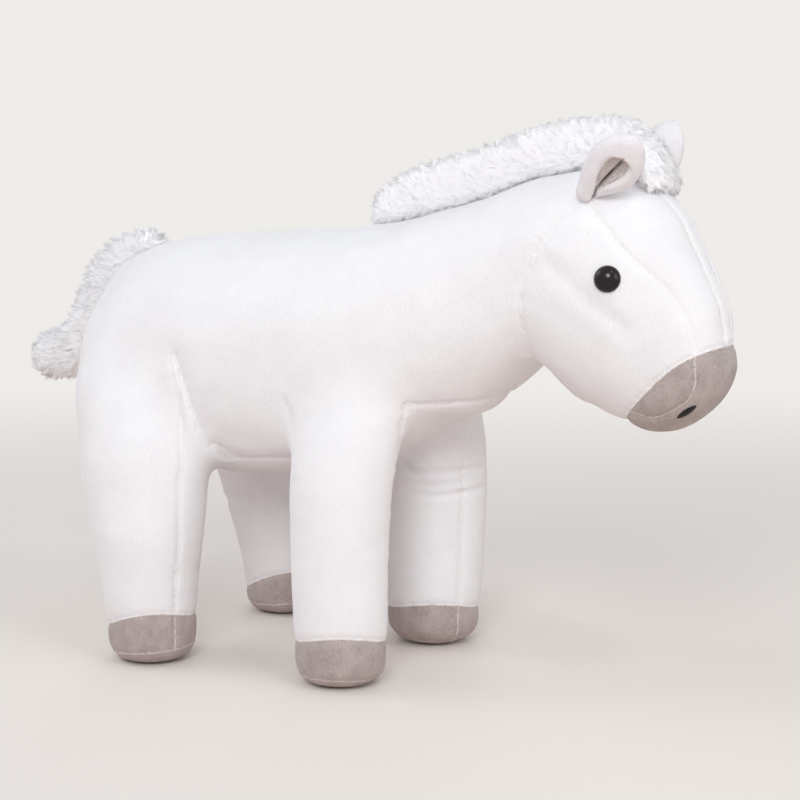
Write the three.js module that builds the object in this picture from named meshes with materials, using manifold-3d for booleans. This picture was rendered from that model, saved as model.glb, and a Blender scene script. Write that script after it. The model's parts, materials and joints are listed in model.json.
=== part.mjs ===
// A standing plush horse: short white plush over loose polyester fibre, with a grey muzzle and
// hooves, a fur mane, forelock and tail, cupped ears and black safety eyes.
// The horse faces +X, its left side is +Y and it stands on Z = 0. Lengths are in millimetres.
import * as THREE from "three";
import { mergeVertices } from "three/addons/utils/BufferGeometryUtils.js";
import Module from "manifold-3d";

const wasm = await Module();
wasm.setup();

// Clearance between pieces that are sewn or pressed together
const GAP = 0.3;
// Thickness of the plush with its backing, all over the body
const CLOTH = 3;

// Sections of body, neck and head from rump to muzzle: highest point and lowest point in the
// middle plane as [x, z], and half the width. Two of them are the planes of seams
const TRUNK = [
  { top: [-100, 271], bottom: [-100, 134], half: 80 },
  { top: [-50, 277], bottom: [-52, 116], half: 84 },
  { top: [0, 278.5], bottom: [2, 119], half: 81 },
  { top: [42, 279.5], bottom: [54, 130], half: 78 },
  { top: [74, 283], bottom: [92, 148], half: 73 },
  { top: [104, 289], bottom: [120, 165], half: 64 },
  { top: [136, 297], bottom: [147, 178], half: 56 },
  { top: [174, 310], bottom: [163, 190], half: 52 },
  { top: [214, 315], bottom: [173, 198], half: 51, seam: "neck" },
  { top: [241, 309], bottom: [191, 187], half: 50 },
  { top: [261, 290], bottom: [209, 178], half: 47 },
  { top: [275, 261], bottom: [219, 173], half: 41 },
  { top: [287, 236], bottom: [225, 170], half: 36.5 },
  { top: [290, 214], bottom: [229, 168.5], half: 33, seam: "muzzle" },
];
const RUMP_DEPTH = 53;
const MUZZLE_DEPTH = 25;
const TRUNK_SIDES = 20;
// How square the oval sections are: 2 is an ellipse
const TRUNK_FULLNESS = 2.25;
// Rings of a form's rounded end, as degrees from its rim
const DOME_ANGLES = [32, 64];

// Half width of the belly panel at places along the body, as [x, half width]
const BELLY_PANEL = [[-138, 0], [-100, 40], [-60, 56], [-30, 61], [30, 61], [70, 50], [95, 34],
  [120, 33], [147, 28], [168, 0]];
const BELLY_PANEL_TOP = 196;

// Seams of the head, seen from the side as [x, z]
const FACE_SEAM = [[214, 300], [220.4, 291], [244, 265], [260, 250], [273, 233], [279, 214]];
const CHIN_SEAM = [[279, 214], [279.2, 193], [275.3, 183], [270, 178.6], [261.2, 173.5],
  [253.4, 171.3], [246, 172.6], [238, 174.5]];
const GUSSET_HALF = 9;

const HOOF_HEIGHT = 31;
const SOLE_HEIGHT = 9;
// Left legs: where the sole's centre stands, and sections from the shoulder or thigh down, with
// their centre from there, height, radius fore and aft, and radius to the side. The plane of the
// leg's seams runs down from the section marked so, turned inwards from straight ahead, in degrees
const FRONT_LEG = {
  x: 67.5,
  y: 57.5,
  sections: [
    { x: -5.5, y: -19.5, z: 214, long: 34, wide: 26 },
    { x: -2.5, y: -10.5, z: 180, long: 37, wide: 31 },
    { x: 0, y: -2.5, z: 140, long: 33.5, wide: 32.5, seam: true },
    { x: 0, y: 0, z: 95, long: 31, wide: 31 },
    { x: 0, y: 0, z: 50, long: 30, wide: 30 },
    { x: 0, y: 0, z: HOOF_HEIGHT, long: 29.5, wide: 29.5 },
    { x: 0, y: 0, z: SOLE_HEIGHT, long: 28, wide: 28 },
  ],
  seamTurn: 28,
};
const HIND_LEG = {
  x: -70,
  y: 77,
  sections: [
    { x: -18, y: -37, z: 222, long: 38, wide: 28 },
    { x: -17, y: -22, z: 180, long: 50, wide: 37 },
    { x: -11.5, y: -9, z: 138, long: 47, wide: 38, seam: true },
    { x: -5, y: -3, z: 85, long: 37.5, wide: 36 },
    { x: -2, y: -1, z: 50, long: 31, wide: 31 },
    { x: -0.5, y: 0, z: HOOF_HEIGHT, long: 29, wide: 29 },
    { x: 0, y: 0, z: SOLE_HEIGHT, long: 28, wide: 28 },
  ],
  seamTurn: -14,
};
const LEG_SIDES = 12;
// The rounded sole would reach this far below the floor, and is flat there instead
const SOLE_FLAT_DEPTH = 0.5;

// Mane and forelock: a doubled strip of fur standing on the crest of the neck. Sections are as
// TRUNK's, but their heights are above the crest at each x
const MANE = [
  { top: [62, 20.5], bottom: [60, -11.5], half: 9.5 },
  { top: [92, 32], bottom: [97, -8.5], half: 10.5 },
  { top: [132, 36], bottom: [138, -9.5], half: 11 },
  { top: [170, 33.5], bottom: [174, -8], half: 11 },
  { top: [207, 31], bottom: [208, -8], half: 11.5 },
];
const MANE_END_DEPTH = 8;
const FORELOCK = [
  { top: [209, 30.5], bottom: [209, -8.5], half: 11.5 },
  { top: [229, 29], bottom: [224, -9], half: 16 },
  { top: [246, 23], bottom: [236, -13], half: 20 },
  { top: [253.5, 15], bottom: [243, -15], half: 22 },
];
const FORELOCK_END_DEPTH = 6;

// Tail: a fur sleeve that hugs the rump and kicks out at its tip. Sections are as TRUNK's, but
// measured from the tail's root, which lies this far behind the first section of the trunk
const TAIL_SET_BACK = 17.5;
const TAIL = [
  { top: [-4.5, 13.5], bottom: [-1.5, -2], half: 8 },
  { top: [-30.5, 11], bottom: [-14.5, -14], half: 12 },
  { top: [-53.5, -2], bottom: [-25.5, -28], half: 14.5 },
  { top: [-66.5, -21], bottom: [-31.5, -44], half: 15 },
  { top: [-76.5, -42], bottom: [-42.5, -68], half: 15 },
  { top: [-89.5, -55], bottom: [-68.5, -86], half: 14.5 },
  { top: [-108.5, -61], bottom: [-96.5, -92.5], half: 13 },
];
const TAIL_ROOT_DEPTH = 3;
const TAIL_TIP_DEPTH = 14;

const FUR_SIDES = 10;
const FUR_FULLNESS = 2.4;
const FUR_STEPS = 2;

// Ears: leaf-shaped cups of plush with a thin lining, which leaves a rim of plush bare
const EAR = {
  length: 50,
  width: 42,
  root: 9,
  wall: 4,
  lining: 1.5,
  // Clearance between lining and shell
  seat: 0.5,
  rim: 3,
  // The lining starts this far above the root
  liningStart: 10,
  // How far each half of the cup bends round, in degrees, at its widest and at the root
  curl: 85,
  rootCurl: 4,
  // How far the tip leans over the mouth, and how much lower its corners are than its middle
  tipCurl: 7,
  tipRound: 4,
  // Outline of the leaf: the share of a half wave that its width follows, and that wave's power
  taper: 0.94,
  swell: 0.7,
  // Share of the length over which the cup twists round on its root
  twistEnd: 0.45,
  // The root lies where a line from this place in the head, at this slope in degrees, comes out
  x: 216,
  z: 262,
  rise: 43,
};
const EAR_GRID = { across: 10, along: 9 };
const LINING_GRID = { across: 8, along: 7 };
// How each ear leans forward from upright, leans outwards, and how far its mouth turns outwards
// from straight ahead: the right one is flopped forward
const EAR_POSE = {
  right: { forward: 44, outward: 14, turn: 52 },
  left: { forward: 13, outward: 4, turn: 48 },
};

// Safety eyes: a dome on a post, with a washer pushed on from inside
const EYE = { x: 233.8, z: 251.5, radius: 7.7, height: 5.2, post: 2.2, postLength: 11 };
const WASHER = { radius: 8.5, thickness: 1.6 };
const POST_CLEARANCE = 0.4;

// Nostrils: raised satin stitch on the chin, seen from the middle of the muzzle seam
const NOSTRIL = { side: 19, long: 7, wide: 2.4, high: 0.9, angle: 88, turn: 90 };

// Sides of the eyes and washers, and of the smaller round shapes
const ROUND_SIDES = 20;
const SMALL_SIDES = 12;

const plush = new THREE.MeshStandardMaterial({ color: 0xf6f5f8, roughness: 0.95, metalness: 0 });
const fur = new THREE.MeshStandardMaterial({ color: 0xf3f1f4, roughness: 1, metalness: 0 });
const grey = new THREE.MeshStandardMaterial({ color: 0xb2aca8, roughness: 0.9, metalness: 0 });
const fibre = new THREE.MeshStandardMaterial({ color: 0xfafafa, roughness: 1, metalness: 0 });
const gloss = new THREE.MeshStandardMaterial({ color: 0x0b090c, roughness: 0.08, metalness: 0 });
const thread = new THREE.MeshStandardMaterial({ color: 0x121012, roughness: 0.7, metalness: 0 });
const white = new THREE.MeshStandardMaterial({ color: 0xe4e4e2, roughness: 0.5, metalness: 0 });

// Further than the horse reaches in any direction, for cutting shapes
const FAR = 1200;
const RIGHT = -1;
const LEFT = 1;

// Closed three.js geometry to a solid that can be cut
function solid(geometry) {
  const bare = geometry.clone();
  bare.deleteAttribute("normal");
  bare.deleteAttribute("uv");
  const merged = mergeVertices(bare, 1e-5);
  const mesh = new wasm.Mesh({
    numProp: 3,
    vertProperties: new Float32Array(merged.attributes.position.array),
    triVerts: new Uint32Array(merged.index.array),
  });
  return new wasm.Manifold(mesh);
}

// Solid back to a three.js geometry
function geometryOf(manifold) {
  const { vertProperties, triVerts } = manifold.getMesh();
  const geometry = new THREE.BufferGeometry();
  geometry.setAttribute("position", new THREE.BufferAttribute(vertProperties, 3));
  geometry.setIndex(new THREE.BufferAttribute(triVerts, 1));
  return geometry;
}

// Everything on the side of a plane that its normal points to, starting `shift` beyond it
function halfSpace(point, normal, shift = 0) {
  const direction = normal.clone().normalize();
  const box = new THREE.BoxGeometry(FAR, FAR, FAR);
  box.translate(0, 0, FAR / 2 + shift);
  box.applyQuaternion(new THREE.Quaternion().setFromUnitVectors(new THREE.Vector3(0, 0, 1), direction));
  box.translate(point.x, point.y, point.z);
  return solid(box);
}

// A closed outline with its edges moved outwards by `grow`; the points run anticlockwise
function grownOutline(points, grow) {
  return points.map((point, i) => {
    const before = points[(i + points.length - 1) % points.length];
    const after = points[(i + 1) % points.length];
    const edges = [point.clone().sub(before), after.clone().sub(point)];
    const normals = edges.map((edge) => new THREE.Vector2(edge.y, -edge.x).normalize());
    const middle = normals[0].clone().add(normals[1]);
    const scale = grow / (1 + normals[0].dot(normals[1]));
    return point.clone().addScaledVector(middle, scale);
  });
}

// Prism of an outline seen from above, up to a height
function floorPrism(outline, top, grow) {
  const shape = new THREE.Shape(grownOutline(outline, grow));
  const prism = new THREE.ExtrudeGeometry(shape, { depth: top, bevelEnabled: false });
  return solid(prism);
}

// Prism of an outline seen from the side, right through the horse
function sidePrism(outline, grow) {
  const shape = new THREE.Shape(grownOutline(outline, grow));
  const prism = new THREE.ExtrudeGeometry(shape, { depth: FAR, bevelEnabled: false });
  prism.translate(0, 0, -FAR / 2);
  prism.rotateX(Math.PI / 2);
  return solid(prism);
}

// Section of a form in the middle plane, from its highest and lowest points
function uprightSection({ top, bottom, half }) {
  return {
    centre: new THREE.Vector3((top[0] + bottom[0]) / 2, 0, (top[1] + bottom[1]) / 2),
    arm: new THREE.Vector3((top[0] - bottom[0]) / 2, 0, (top[1] - bottom[1]) / 2),
    half,
  };
}

// Level sections of a leg on one side of the horse
function levelSections(leg, side) {
  return leg.sections.map(({ x, y, z, long, wide }) => ({
    centre: new THREE.Vector3(leg.x + x, side * (leg.y + y), z),
    arm: new THREE.Vector3(long, 0, 0),
    half: wide,
  }));
}

// Sections with smooth ones put between them
function refined(sections, perSpan) {
  const places = [0];
  for (let i = 1; i < sections.length; i++) {
    places.push(places[i - 1] + sections[i].centre.distanceTo(sections[i - 1].centre));
  }
  const values = sections.flatMap(({ centre, arm, half }) => [...centre, ...arm, half]);
  const curve = new THREE.CubicInterpolant(places, values, 7);
  const result = [];
  for (let i = 0; i < sections.length - 1; i++) {
    for (let k = 0; k < perSpan; k++) {
      const [cx, cy, cz, ax, ay, az, half] = curve.evaluate(
        THREE.MathUtils.lerp(places[i], places[i + 1], k / perSpan));
      result.push({ centre: new THREE.Vector3(cx, cy, cz), arm: new THREE.Vector3(ax, ay, az), half });
    }
  }
  result.push(sections[sections.length - 1]);
  return result;
}

// Direction that a section faces, towards the next one
function facing(section, onward) {
  const normal = new THREE.Vector3(section.arm.z, 0, -section.arm.x).normalize();
  return normal.dot(onward) < 0 ? normal.negate() : normal;
}

// A stuffed form: ovals swept along the sections, closed by domes or flat ends, and grown or
// shrunk all over by `offset`
function form(sections, { offset = 0, sides, fullness = 2, perSpan = 1, startDepth = 0, endDepth = 0 }) {
  const rings = refined(sections, perSpan).map((section) => ({ ...section, scale: 1 }));
  const first = rings[0];
  const last = rings[rings.length - 1];
  const start = facing(first, rings[1].centre.clone().sub(first.centre)).negate();
  const end = facing(last, last.centre.clone().sub(rings[rings.length - 2].centre));
  const dome = (ring, direction, depth) => DOME_ANGLES.map(THREE.MathUtils.degToRad).map((angle) => ({
    ...ring,
    scale: Math.cos(angle),
    push: direction.clone().multiplyScalar((depth + offset) * Math.sin(angle)),
  }));
  const all = [
    ...(startDepth ? dome(first, start, startDepth).reverse() : []),
    ...rings,
    ...(endDepth ? dome(last, end, endDepth) : []),
  ];
  const poles = [
    first.centre.clone().addScaledVector(start, startDepth + offset),
    last.centre.clone().addScaledVector(end, endDepth + offset),
  ];
  const round = (value) => Math.sign(value) * Math.abs(value) ** (2 / fullness);
  const points = [poles[0]];
  for (const ring of all) {
    const arm = ring.arm.clone().setLength(ring.arm.length() + offset).multiplyScalar(ring.scale);
    const half = (ring.half + offset) * ring.scale;
    for (let k = 0; k < sides; k++) {
      const turn = (2 * Math.PI * (k + 0.5)) / sides;
      const point = ring.centre.clone().addScaledVector(arm, round(Math.cos(turn)));
      point.y += half * round(Math.sin(turn));
      if (ring.push) point.add(ring.push);
      points.push(point);
    }
  }
  points.push(poles[1]);
  return solid(ringMesh(points, all.length, sides));
}

// Triangles between rings of points, with a pole before the first ring and after the last
function ringMesh(points, rings, sides) {
  const index = [];
  const at = (ring, side) => 1 + ring * sides + (side % sides);
  for (let k = 0; k < sides; k++) {
    index.push(0, at(0, k), at(0, k + 1));
    index.push(points.length - 1, at(rings - 1, k + 1), at(rings - 1, k));
    for (let ring = 0; ring < rings - 1; ring++) {
      index.push(at(ring, k), at(ring + 1, k), at(ring + 1, k + 1));
      index.push(at(ring, k), at(ring + 1, k + 1), at(ring, k + 1));
    }
  }
  const geometry = new THREE.BufferGeometry().setFromPoints(points);
  geometry.setIndex(index);
  return outward(geometry);
}

// Geometry with its triangles turned so that they face out
function outward(geometry) {
  const position = geometry.attributes.position;
  const index = geometry.index.array;
  const corner = (i) => new THREE.Vector3().fromBufferAttribute(position, index[i]);
  let volume = 0;
  for (let i = 0; i < index.length; i += 3) {
    volume += corner(i).dot(corner(i + 1).cross(corner(i + 2)));
  }
  if (volume < 0) {
    for (let i = 0; i < index.length; i += 3) {
      [index[i], index[i + 1]] = [index[i + 1], index[i]];
    }
  }
  return geometry;
}

// Where a ray from inside a form leaves it, and the way that the surface faces there
function surfaceAt(manifold, from, direction) {
  const mesh = new THREE.Mesh(geometryOf(manifold), new THREE.MeshBasicMaterial({ side: THREE.DoubleSide }));
  const [hit] = new THREE.Raycaster(from, direction.clone().normalize()).intersectObject(mesh);
  return { point: hit.point, normal: hit.face.normal.clone().normalize() };
}

const horse = new THREE.Group();

function addPiece(name, shape, material, parent = horse) {
  const geometry = shape.isBufferGeometry ? shape : geometryOf(shape);
  const mesh = new THREE.Mesh(geometry, material);
  mesh.name = name;
  parent.add(mesh);
  return mesh;
}

const trunkSections = TRUNK.map(uprightSection);
const trunk = (offset) => form(trunkSections, {
  offset,
  sides: TRUNK_SIDES,
  fullness: TRUNK_FULLNESS,
  startDepth: RUMP_DEPTH,
  endDepth: MUZZLE_DEPTH,
});
const trunkOutside = trunk(0);
const trunkClear = trunk(GAP);
const trunkFibre = trunk(-CLOTH - GAP);

// The trunk's section at a seam: its middle, the way it faces, and the half spaces before and behind
function seamAt(name) {
  const { centre, arm } = trunkSections[TRUNK.findIndex(({ seam }) => seam === name)];
  const normal = facing({ arm }, new THREE.Vector3(1, 0, 0));
  return {
    centre,
    arm,
    normal,
    before: halfSpace(centre, normal, GAP / 2),
    behind: halfSpace(centre, normal.clone().negate(), GAP / 2),
  };
}
const neckSeam = seamAt("neck");
const muzzleSeam = seamAt("muzzle");
const middle = new THREE.Vector3();
const sideways = new THREE.Vector3(0, 1, 0);
const half = {
  right: halfSpace(middle, sideways.clone().negate(), GAP / 2),
  left: halfSpace(middle, sideways, GAP / 2),
};

// A leg's stuffed form on one side, grown by an offset
function legForm(leg, side, offset) {
  return form(levelSections(leg, side), {
    offset,
    sides: LEG_SIDES,
    endDepth: SOLE_HEIGHT + SOLE_FLAT_DEPTH,
  });
}

const legs = [];
for (const [end, leg] of [["front", FRONT_LEG], ["hind", HIND_LEG]]) {
  for (const [hand, side] of [["right", RIGHT], ["left", LEFT]]) {
    legs.push({ name: `${end}_${hand}`, leg, side, clear: legForm(leg, side, GAP) });
  }
}

// Torso and neck: two side panels that meet along the back, a belly panel between the legs, and
// the fibre inside
function makeBody() {
  const outline = [...BELLY_PANEL, ...BELLY_PANEL.slice(1, -1).reverse().map(([x, y]) => [x, -y])];
  const corners = outline.map(([x, y]) => new THREE.Vector2(x, -y));
  let cover = trunkOutside.subtract(trunk(-CLOTH)).intersect(neckSeam.behind);
  for (const { clear } of legs) {
    cover = cover.subtract(clear);
  }
  const sides = cover.subtract(floorPrism(corners, BELLY_PANEL_TOP, GAP / 2));
  addPiece("side_panel_right", sides.intersect(half.right), plush);
  addPiece("side_panel_left", sides.intersect(half.left), plush);
  addPiece("belly_panel", cover.intersect(floorPrism(corners, BELLY_PANEL_TOP, -GAP / 2)), plush);
  addPiece("body_filling", trunkFibre.intersect(neckSeam.behind), fibre);
}

// One leg: outer and inner plush panels, a grey hoof band, a grey sole and the fibre inside
function makeLeg({ name, leg, side }) {
  const up = new THREE.Vector3(0, 0, 1);
  const floor = halfSpace(middle, up);
  const above = (height) => halfSpace(new THREE.Vector3(0, 0, height), up, GAP / 2);
  const below = (height) => halfSpace(new THREE.Vector3(0, 0, height), up.clone().negate(), GAP / 2);
  const cover = legForm(leg, side, 0).subtract(legForm(leg, side, -CLOTH))
    .intersect(floor).subtract(trunkClear);
  const upper = cover.intersect(above(HOOF_HEIGHT));
  const sections = levelSections(leg, side);
  const ankle = sections[sections.length - 1].centre;
  const thigh = sections[leg.sections.findIndex((section) => section.seam)].centre;
  const axis = thigh.clone().sub(ankle);
  const turn = THREE.MathUtils.degToRad(leg.seamTurn);
  const seam = new THREE.Vector3(Math.cos(turn), -side * Math.sin(turn), 0);
  const outwards = new THREE.Vector3().crossVectors(axis, seam).multiplyScalar(side);
  addPiece(`${name}_leg_outer`, upper.intersect(halfSpace(ankle, outwards, GAP / 2)), plush);
  addPiece(`${name}_leg_inner`, upper.intersect(halfSpace(ankle, outwards.clone().negate(), GAP / 2)), plush);
  addPiece(`${name}_hoof`, cover.intersect(below(HOOF_HEIGHT)).intersect(above(SOLE_HEIGHT)), grey);
  addPiece(`${name}_sole`, cover.intersect(below(SOLE_HEIGHT)), grey);
  const filling = legForm(leg, side, -CLOTH - GAP).subtract(trunk(-CLOTH));
  addPiece(`${name}_leg_filling`, filling, fibre);
}

// Where an eye sits: its place on the cheek and the way that it looks
function eyeSeat(side) {
  return surfaceAt(trunkOutside, new THREE.Vector3(EYE.x, 0, EYE.z), new THREE.Vector3(0, side, 0));
}

// Turns a geometry made along +Z to stand on a seat, with its own origin at the surface
function stand(geometry, { point, normal }) {
  geometry.applyQuaternion(new THREE.Quaternion().setFromUnitVectors(new THREE.Vector3(0, 0, 1), normal));
  geometry.translate(point.x, point.y, point.z);
  return geometry;
}

// A turned solid about +Z from a profile of [radius, height]
function turned(profile, segments) {
  const points = profile.map(([radius, height]) => new THREE.Vector2(radius, height));
  return new THREE.LatheGeometry(points, segments).rotateX(Math.PI / 2);
}

// Profile of a dome from its rim to its top, on a seat one gap above the cloth
function domeProfile(radius, height) {
  const angles = [0, 22.5, 45, 67.5].map(THREE.MathUtils.degToRad);
  const arc = angles.map((angle) => [radius * Math.cos(angle), GAP + height * Math.sin(angle)]);
  return [...arc, [0, GAP + height]];
}

function eyeGeometry(side) {
  const profile = [
    [0, GAP - EYE.postLength],
    [EYE.post, GAP - EYE.postLength],
    [EYE.post, GAP],
    ...domeProfile(EYE.radius, EYE.height),
  ];
  return stand(turned(profile, ROUND_SIDES), eyeSeat(side));
}

function washerGeometry(side, grow) {
  const face = -CLOTH - GAP;
  const inner = grow ? 0 : EYE.post + POST_CLEARANCE;
  const outer = WASHER.radius + grow;
  const profile = [
    [inner, face - WASHER.thickness - grow],
    [outer, face - WASHER.thickness - grow],
    [outer, face + grow],
    [inner, face + grow],
  ];
  if (!grow) profile.push(profile[0]);
  return stand(turned(profile, ROUND_SIDES), eyeSeat(side));
}

// Room for an eye's post
function postRoom(side) {
  const reach = EYE.postLength + GAP;
  const room = turned([[0, -reach], [EYE.post + POST_CLEARANCE, -reach],
    [EYE.post + POST_CLEARANCE, reach], [0, reach]], SMALL_SIDES);
  return solid(stand(room, eyeSeat(side)));
}

// Outline from a list of [x, z], in the order that grownOutline needs
function anticlockwise(list) {
  const outline = list.map(([x, z]) => new THREE.Vector2(x, z));
  return THREE.ShapeUtils.area(outline) < 0 ? outline.reverse() : outline;
}

// Head: a gusset down the forehead, two face panels, two cheeks, the grey muzzle and the fibre
function makeHead() {
  const faceEnd = FACE_SEAM[FACE_SEAM.length - 1];
  const chinEnd = CHIN_SEAM[CHIN_SEAM.length - 1];
  const reach = FAR / 2;
  const faceOutline = anticlockwise([[FACE_SEAM[0][0], reach], ...FACE_SEAM, [faceEnd[0], -reach],
    [reach, -reach], [reach, reach]]);
  const sideOutline = anticlockwise([...CHIN_SEAM, [-reach, chinEnd[1]], [-reach, reach],
    [CHIN_SEAM[0][0], reach]]);
  const front = (grow) => sidePrism(faceOutline, grow);
  const flank = (grow) => sidePrism(sideOutline, grow);
  let cover = trunkOutside.subtract(trunk(-CLOTH)).intersect(neckSeam.before);
  let filling = trunkFibre.intersect(neckSeam.before);
  for (const side of [RIGHT, LEFT]) {
    const room = postRoom(side).add(solid(washerGeometry(side, GAP)));
    cover = cover.subtract(room);
    filling = filling.subtract(room);
  }
  const upper = cover.intersect(muzzleSeam.behind);
  const muzzle = cover.intersect(muzzleSeam.before);
  const face = upper.intersect(front(-GAP / 2));
  const cheeks = upper.subtract(front(GAP / 2));
  const strip = (grow) => halfSpace(new THREE.Vector3(0, -GUSSET_HALF - grow, 0), sideways)
    .intersect(halfSpace(new THREE.Vector3(0, GUSSET_HALF + grow, 0), sideways.clone().negate()));
  addPiece("forehead_gusset", face.intersect(strip(-GAP / 2)), plush);
  for (const hand of ["right", "left"]) {
    addPiece(`face_panel_${hand}`, face.subtract(strip(GAP / 2)).intersect(half[hand]), plush);
    addPiece(`cheek_panel_${hand}`, cheeks.intersect(half[hand]), plush);
    addPiece(`muzzle_side_${hand}`, muzzle.intersect(flank(-GAP / 2)).intersect(half[hand]), grey);
  }
  addPiece("muzzle_front", muzzle.subtract(flank(GAP / 2)), grey);
  addPiece("head_filling", filling, fibre);
}

function makeEyes() {
  for (const [hand, side] of [["right", RIGHT], ["left", LEFT]]) {
    addPiece(`eye_${hand}`, eyeGeometry(side), gloss);
    addPiece(`eye_washer_${hand}`, washerGeometry(side, 0), white);
  }
}

function makeNostrils() {
  const { centre, arm, normal } = muzzleSeam;
  const angle = THREE.MathUtils.degToRad(NOSTRIL.angle);
  const direction = normal.clone().multiplyScalar(Math.sin(angle))
    .addScaledVector(arm.clone().normalize(), Math.cos(angle));
  for (const [hand, side] of [["right", RIGHT], ["left", LEFT]]) {
    const from = centre.clone().setY(side * NOSTRIL.side);
    const seat = surfaceAt(trunkOutside, from, direction);
    const pad = turned([[0, GAP], ...domeProfile(1, NOSTRIL.high)], SMALL_SIDES);
    pad.scale(NOSTRIL.long, NOSTRIL.wide, 1);
    pad.rotateZ(side * THREE.MathUtils.degToRad(NOSTRIL.turn));
    addPiece(`nostril_${hand}`, stand(pad, seat), thread);
  }
}

const furForm = { sides: FUR_SIDES, fullness: FUR_FULLNESS, perSpan: FUR_STEPS };

// Height of the crest, the trunk's upper edge in the middle plane
function crestHeight(x) {
  const after = TRUNK.findIndex(({ top }) => top[0] > x);
  const [x0, z0] = TRUNK[after - 1].top;
  const [x1, z1] = TRUNK[after].top;
  return THREE.MathUtils.mapLinear(x, x0, x1, z0, z1);
}

// Section of a form whose heights are above the crest
function crestSection({ top, bottom, half }) {
  const raised = ([x, z]) => [x, z + crestHeight(x)];
  return uprightSection({ top: raised(top), bottom: raised(bottom), half });
}

// Mane on the neck and forelock between the ears, both hollowed to sit on the crest
function makeMane() {
  const mane = form(MANE.map(crestSection), { ...furForm, startDepth: MANE_END_DEPTH });
  const forelock = form(FORELOCK.map(crestSection), { ...furForm, endDepth: FORELOCK_END_DEPTH });
  addPiece("mane", mane.subtract(trunkClear), fur);
  addPiece("forelock", forelock.subtract(trunkClear), fur);
}

// Tail, in a group that stands at its root on the rump and turns about its own Y there
function makeTail() {
  const below = trunkSections[0].centre.clone();
  below.x -= TAIL_SET_BACK;
  const root = surfaceAt(trunkOutside, below, new THREE.Vector3(0, 0, 1)).point;
  const fromRoot = ([x, z]) => [root.x + x, root.z + z];
  const sections = TAIL.map(({ top, bottom, half }) => uprightSection({
    top: fromRoot(top),
    bottom: fromRoot(bottom),
    half,
  }));
  const tail = form(sections, { ...furForm, startDepth: TAIL_ROOT_DEPTH, endDepth: TAIL_TIP_DEPTH });
  const group = new THREE.Group();
  group.position.copy(root);
  horse.add(group);
  addPiece("tail", geometryOf(tail.subtract(trunkClear)).translate(-root.x, -root.y, -root.z), fur, group);
}

// Middle surface of an ear: across runs from -1 to 1 and along from 0 at the root to 1 at the tip.
// The cup turns by `twist` about the ear's length just above its root
function earPoint(across, along, twist) {
  const swell = Math.sin(Math.PI * EAR.taper * along) ** EAR.swell;
  const wide = THREE.MathUtils.lerp(EAR.root, EAR.width, swell) / 2;
  const curl = THREE.MathUtils.degToRad(EAR.rootCurl + EAR.curl * swell);
  const radius = wide / curl;
  const rounding = EAR.tipRound * across * across * along ** 4;
  const point = new THREE.Vector3(
    radius * Math.sin(curl * across),
    -radius * (1 - Math.cos(curl * across)) - EAR.tipCurl * along * along,
    EAR.length * along - rounding);
  const turn = twist * THREE.MathUtils.smoothstep(along, 0, EAR.twistEnd);
  return point.applyAxisAngle(new THREE.Vector3(0, 0, 1), turn);
}

// A closed sheet between two offsets from a surface, `width` across and from `start` to its tip
function sheet(point, { width, start, end, near, far, across, along }) {
  const step = 1e-3;
  const grid = (offset) => {
    const points = [];
    for (let j = 0; j <= along; j++) {
      for (let i = 0; i <= across; i++) {
        const u = width * (2 * i / across - 1);
        const v = start + (end - start) * j / along;
        const place = point(u, v);
        const overU = point(u + step, v).sub(place);
        const overV = point(u, v + step).sub(place);
        points.push(place.addScaledVector(overV.cross(overU).normalize(), offset));
      }
    }
    return points;
  };
  const points = [...grid(near), ...grid(far)];
  const count = points.length / 2;
  const at = (i, j) => j * (across + 1) + i;
  const index = [];
  const quad = (a, b, c, d) => index.push(a, b, c, a, c, d);
  for (let j = 0; j < along; j++) {
    for (let i = 0; i < across; i++) {
      quad(at(i, j), at(i + 1, j), at(i + 1, j + 1), at(i, j + 1));
      quad(count + at(i, j), count + at(i, j + 1), count + at(i + 1, j + 1), count + at(i + 1, j));
    }
    quad(at(0, j), at(0, j + 1), count + at(0, j + 1), count + at(0, j));
    quad(at(across, j + 1), at(across, j), count + at(across, j), count + at(across, j + 1));
  }
  for (let i = 0; i < across; i++) {
    quad(at(i + 1, 0), at(i, 0), count + at(i, 0), count + at(i + 1, 0));
    quad(at(i, along), at(i + 1, along), count + at(i + 1, along), count + at(i, along));
  }
  const geometry = new THREE.BufferGeometry().setFromPoints(points);
  geometry.setIndex(index);
  return outward(geometry);
}

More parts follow.
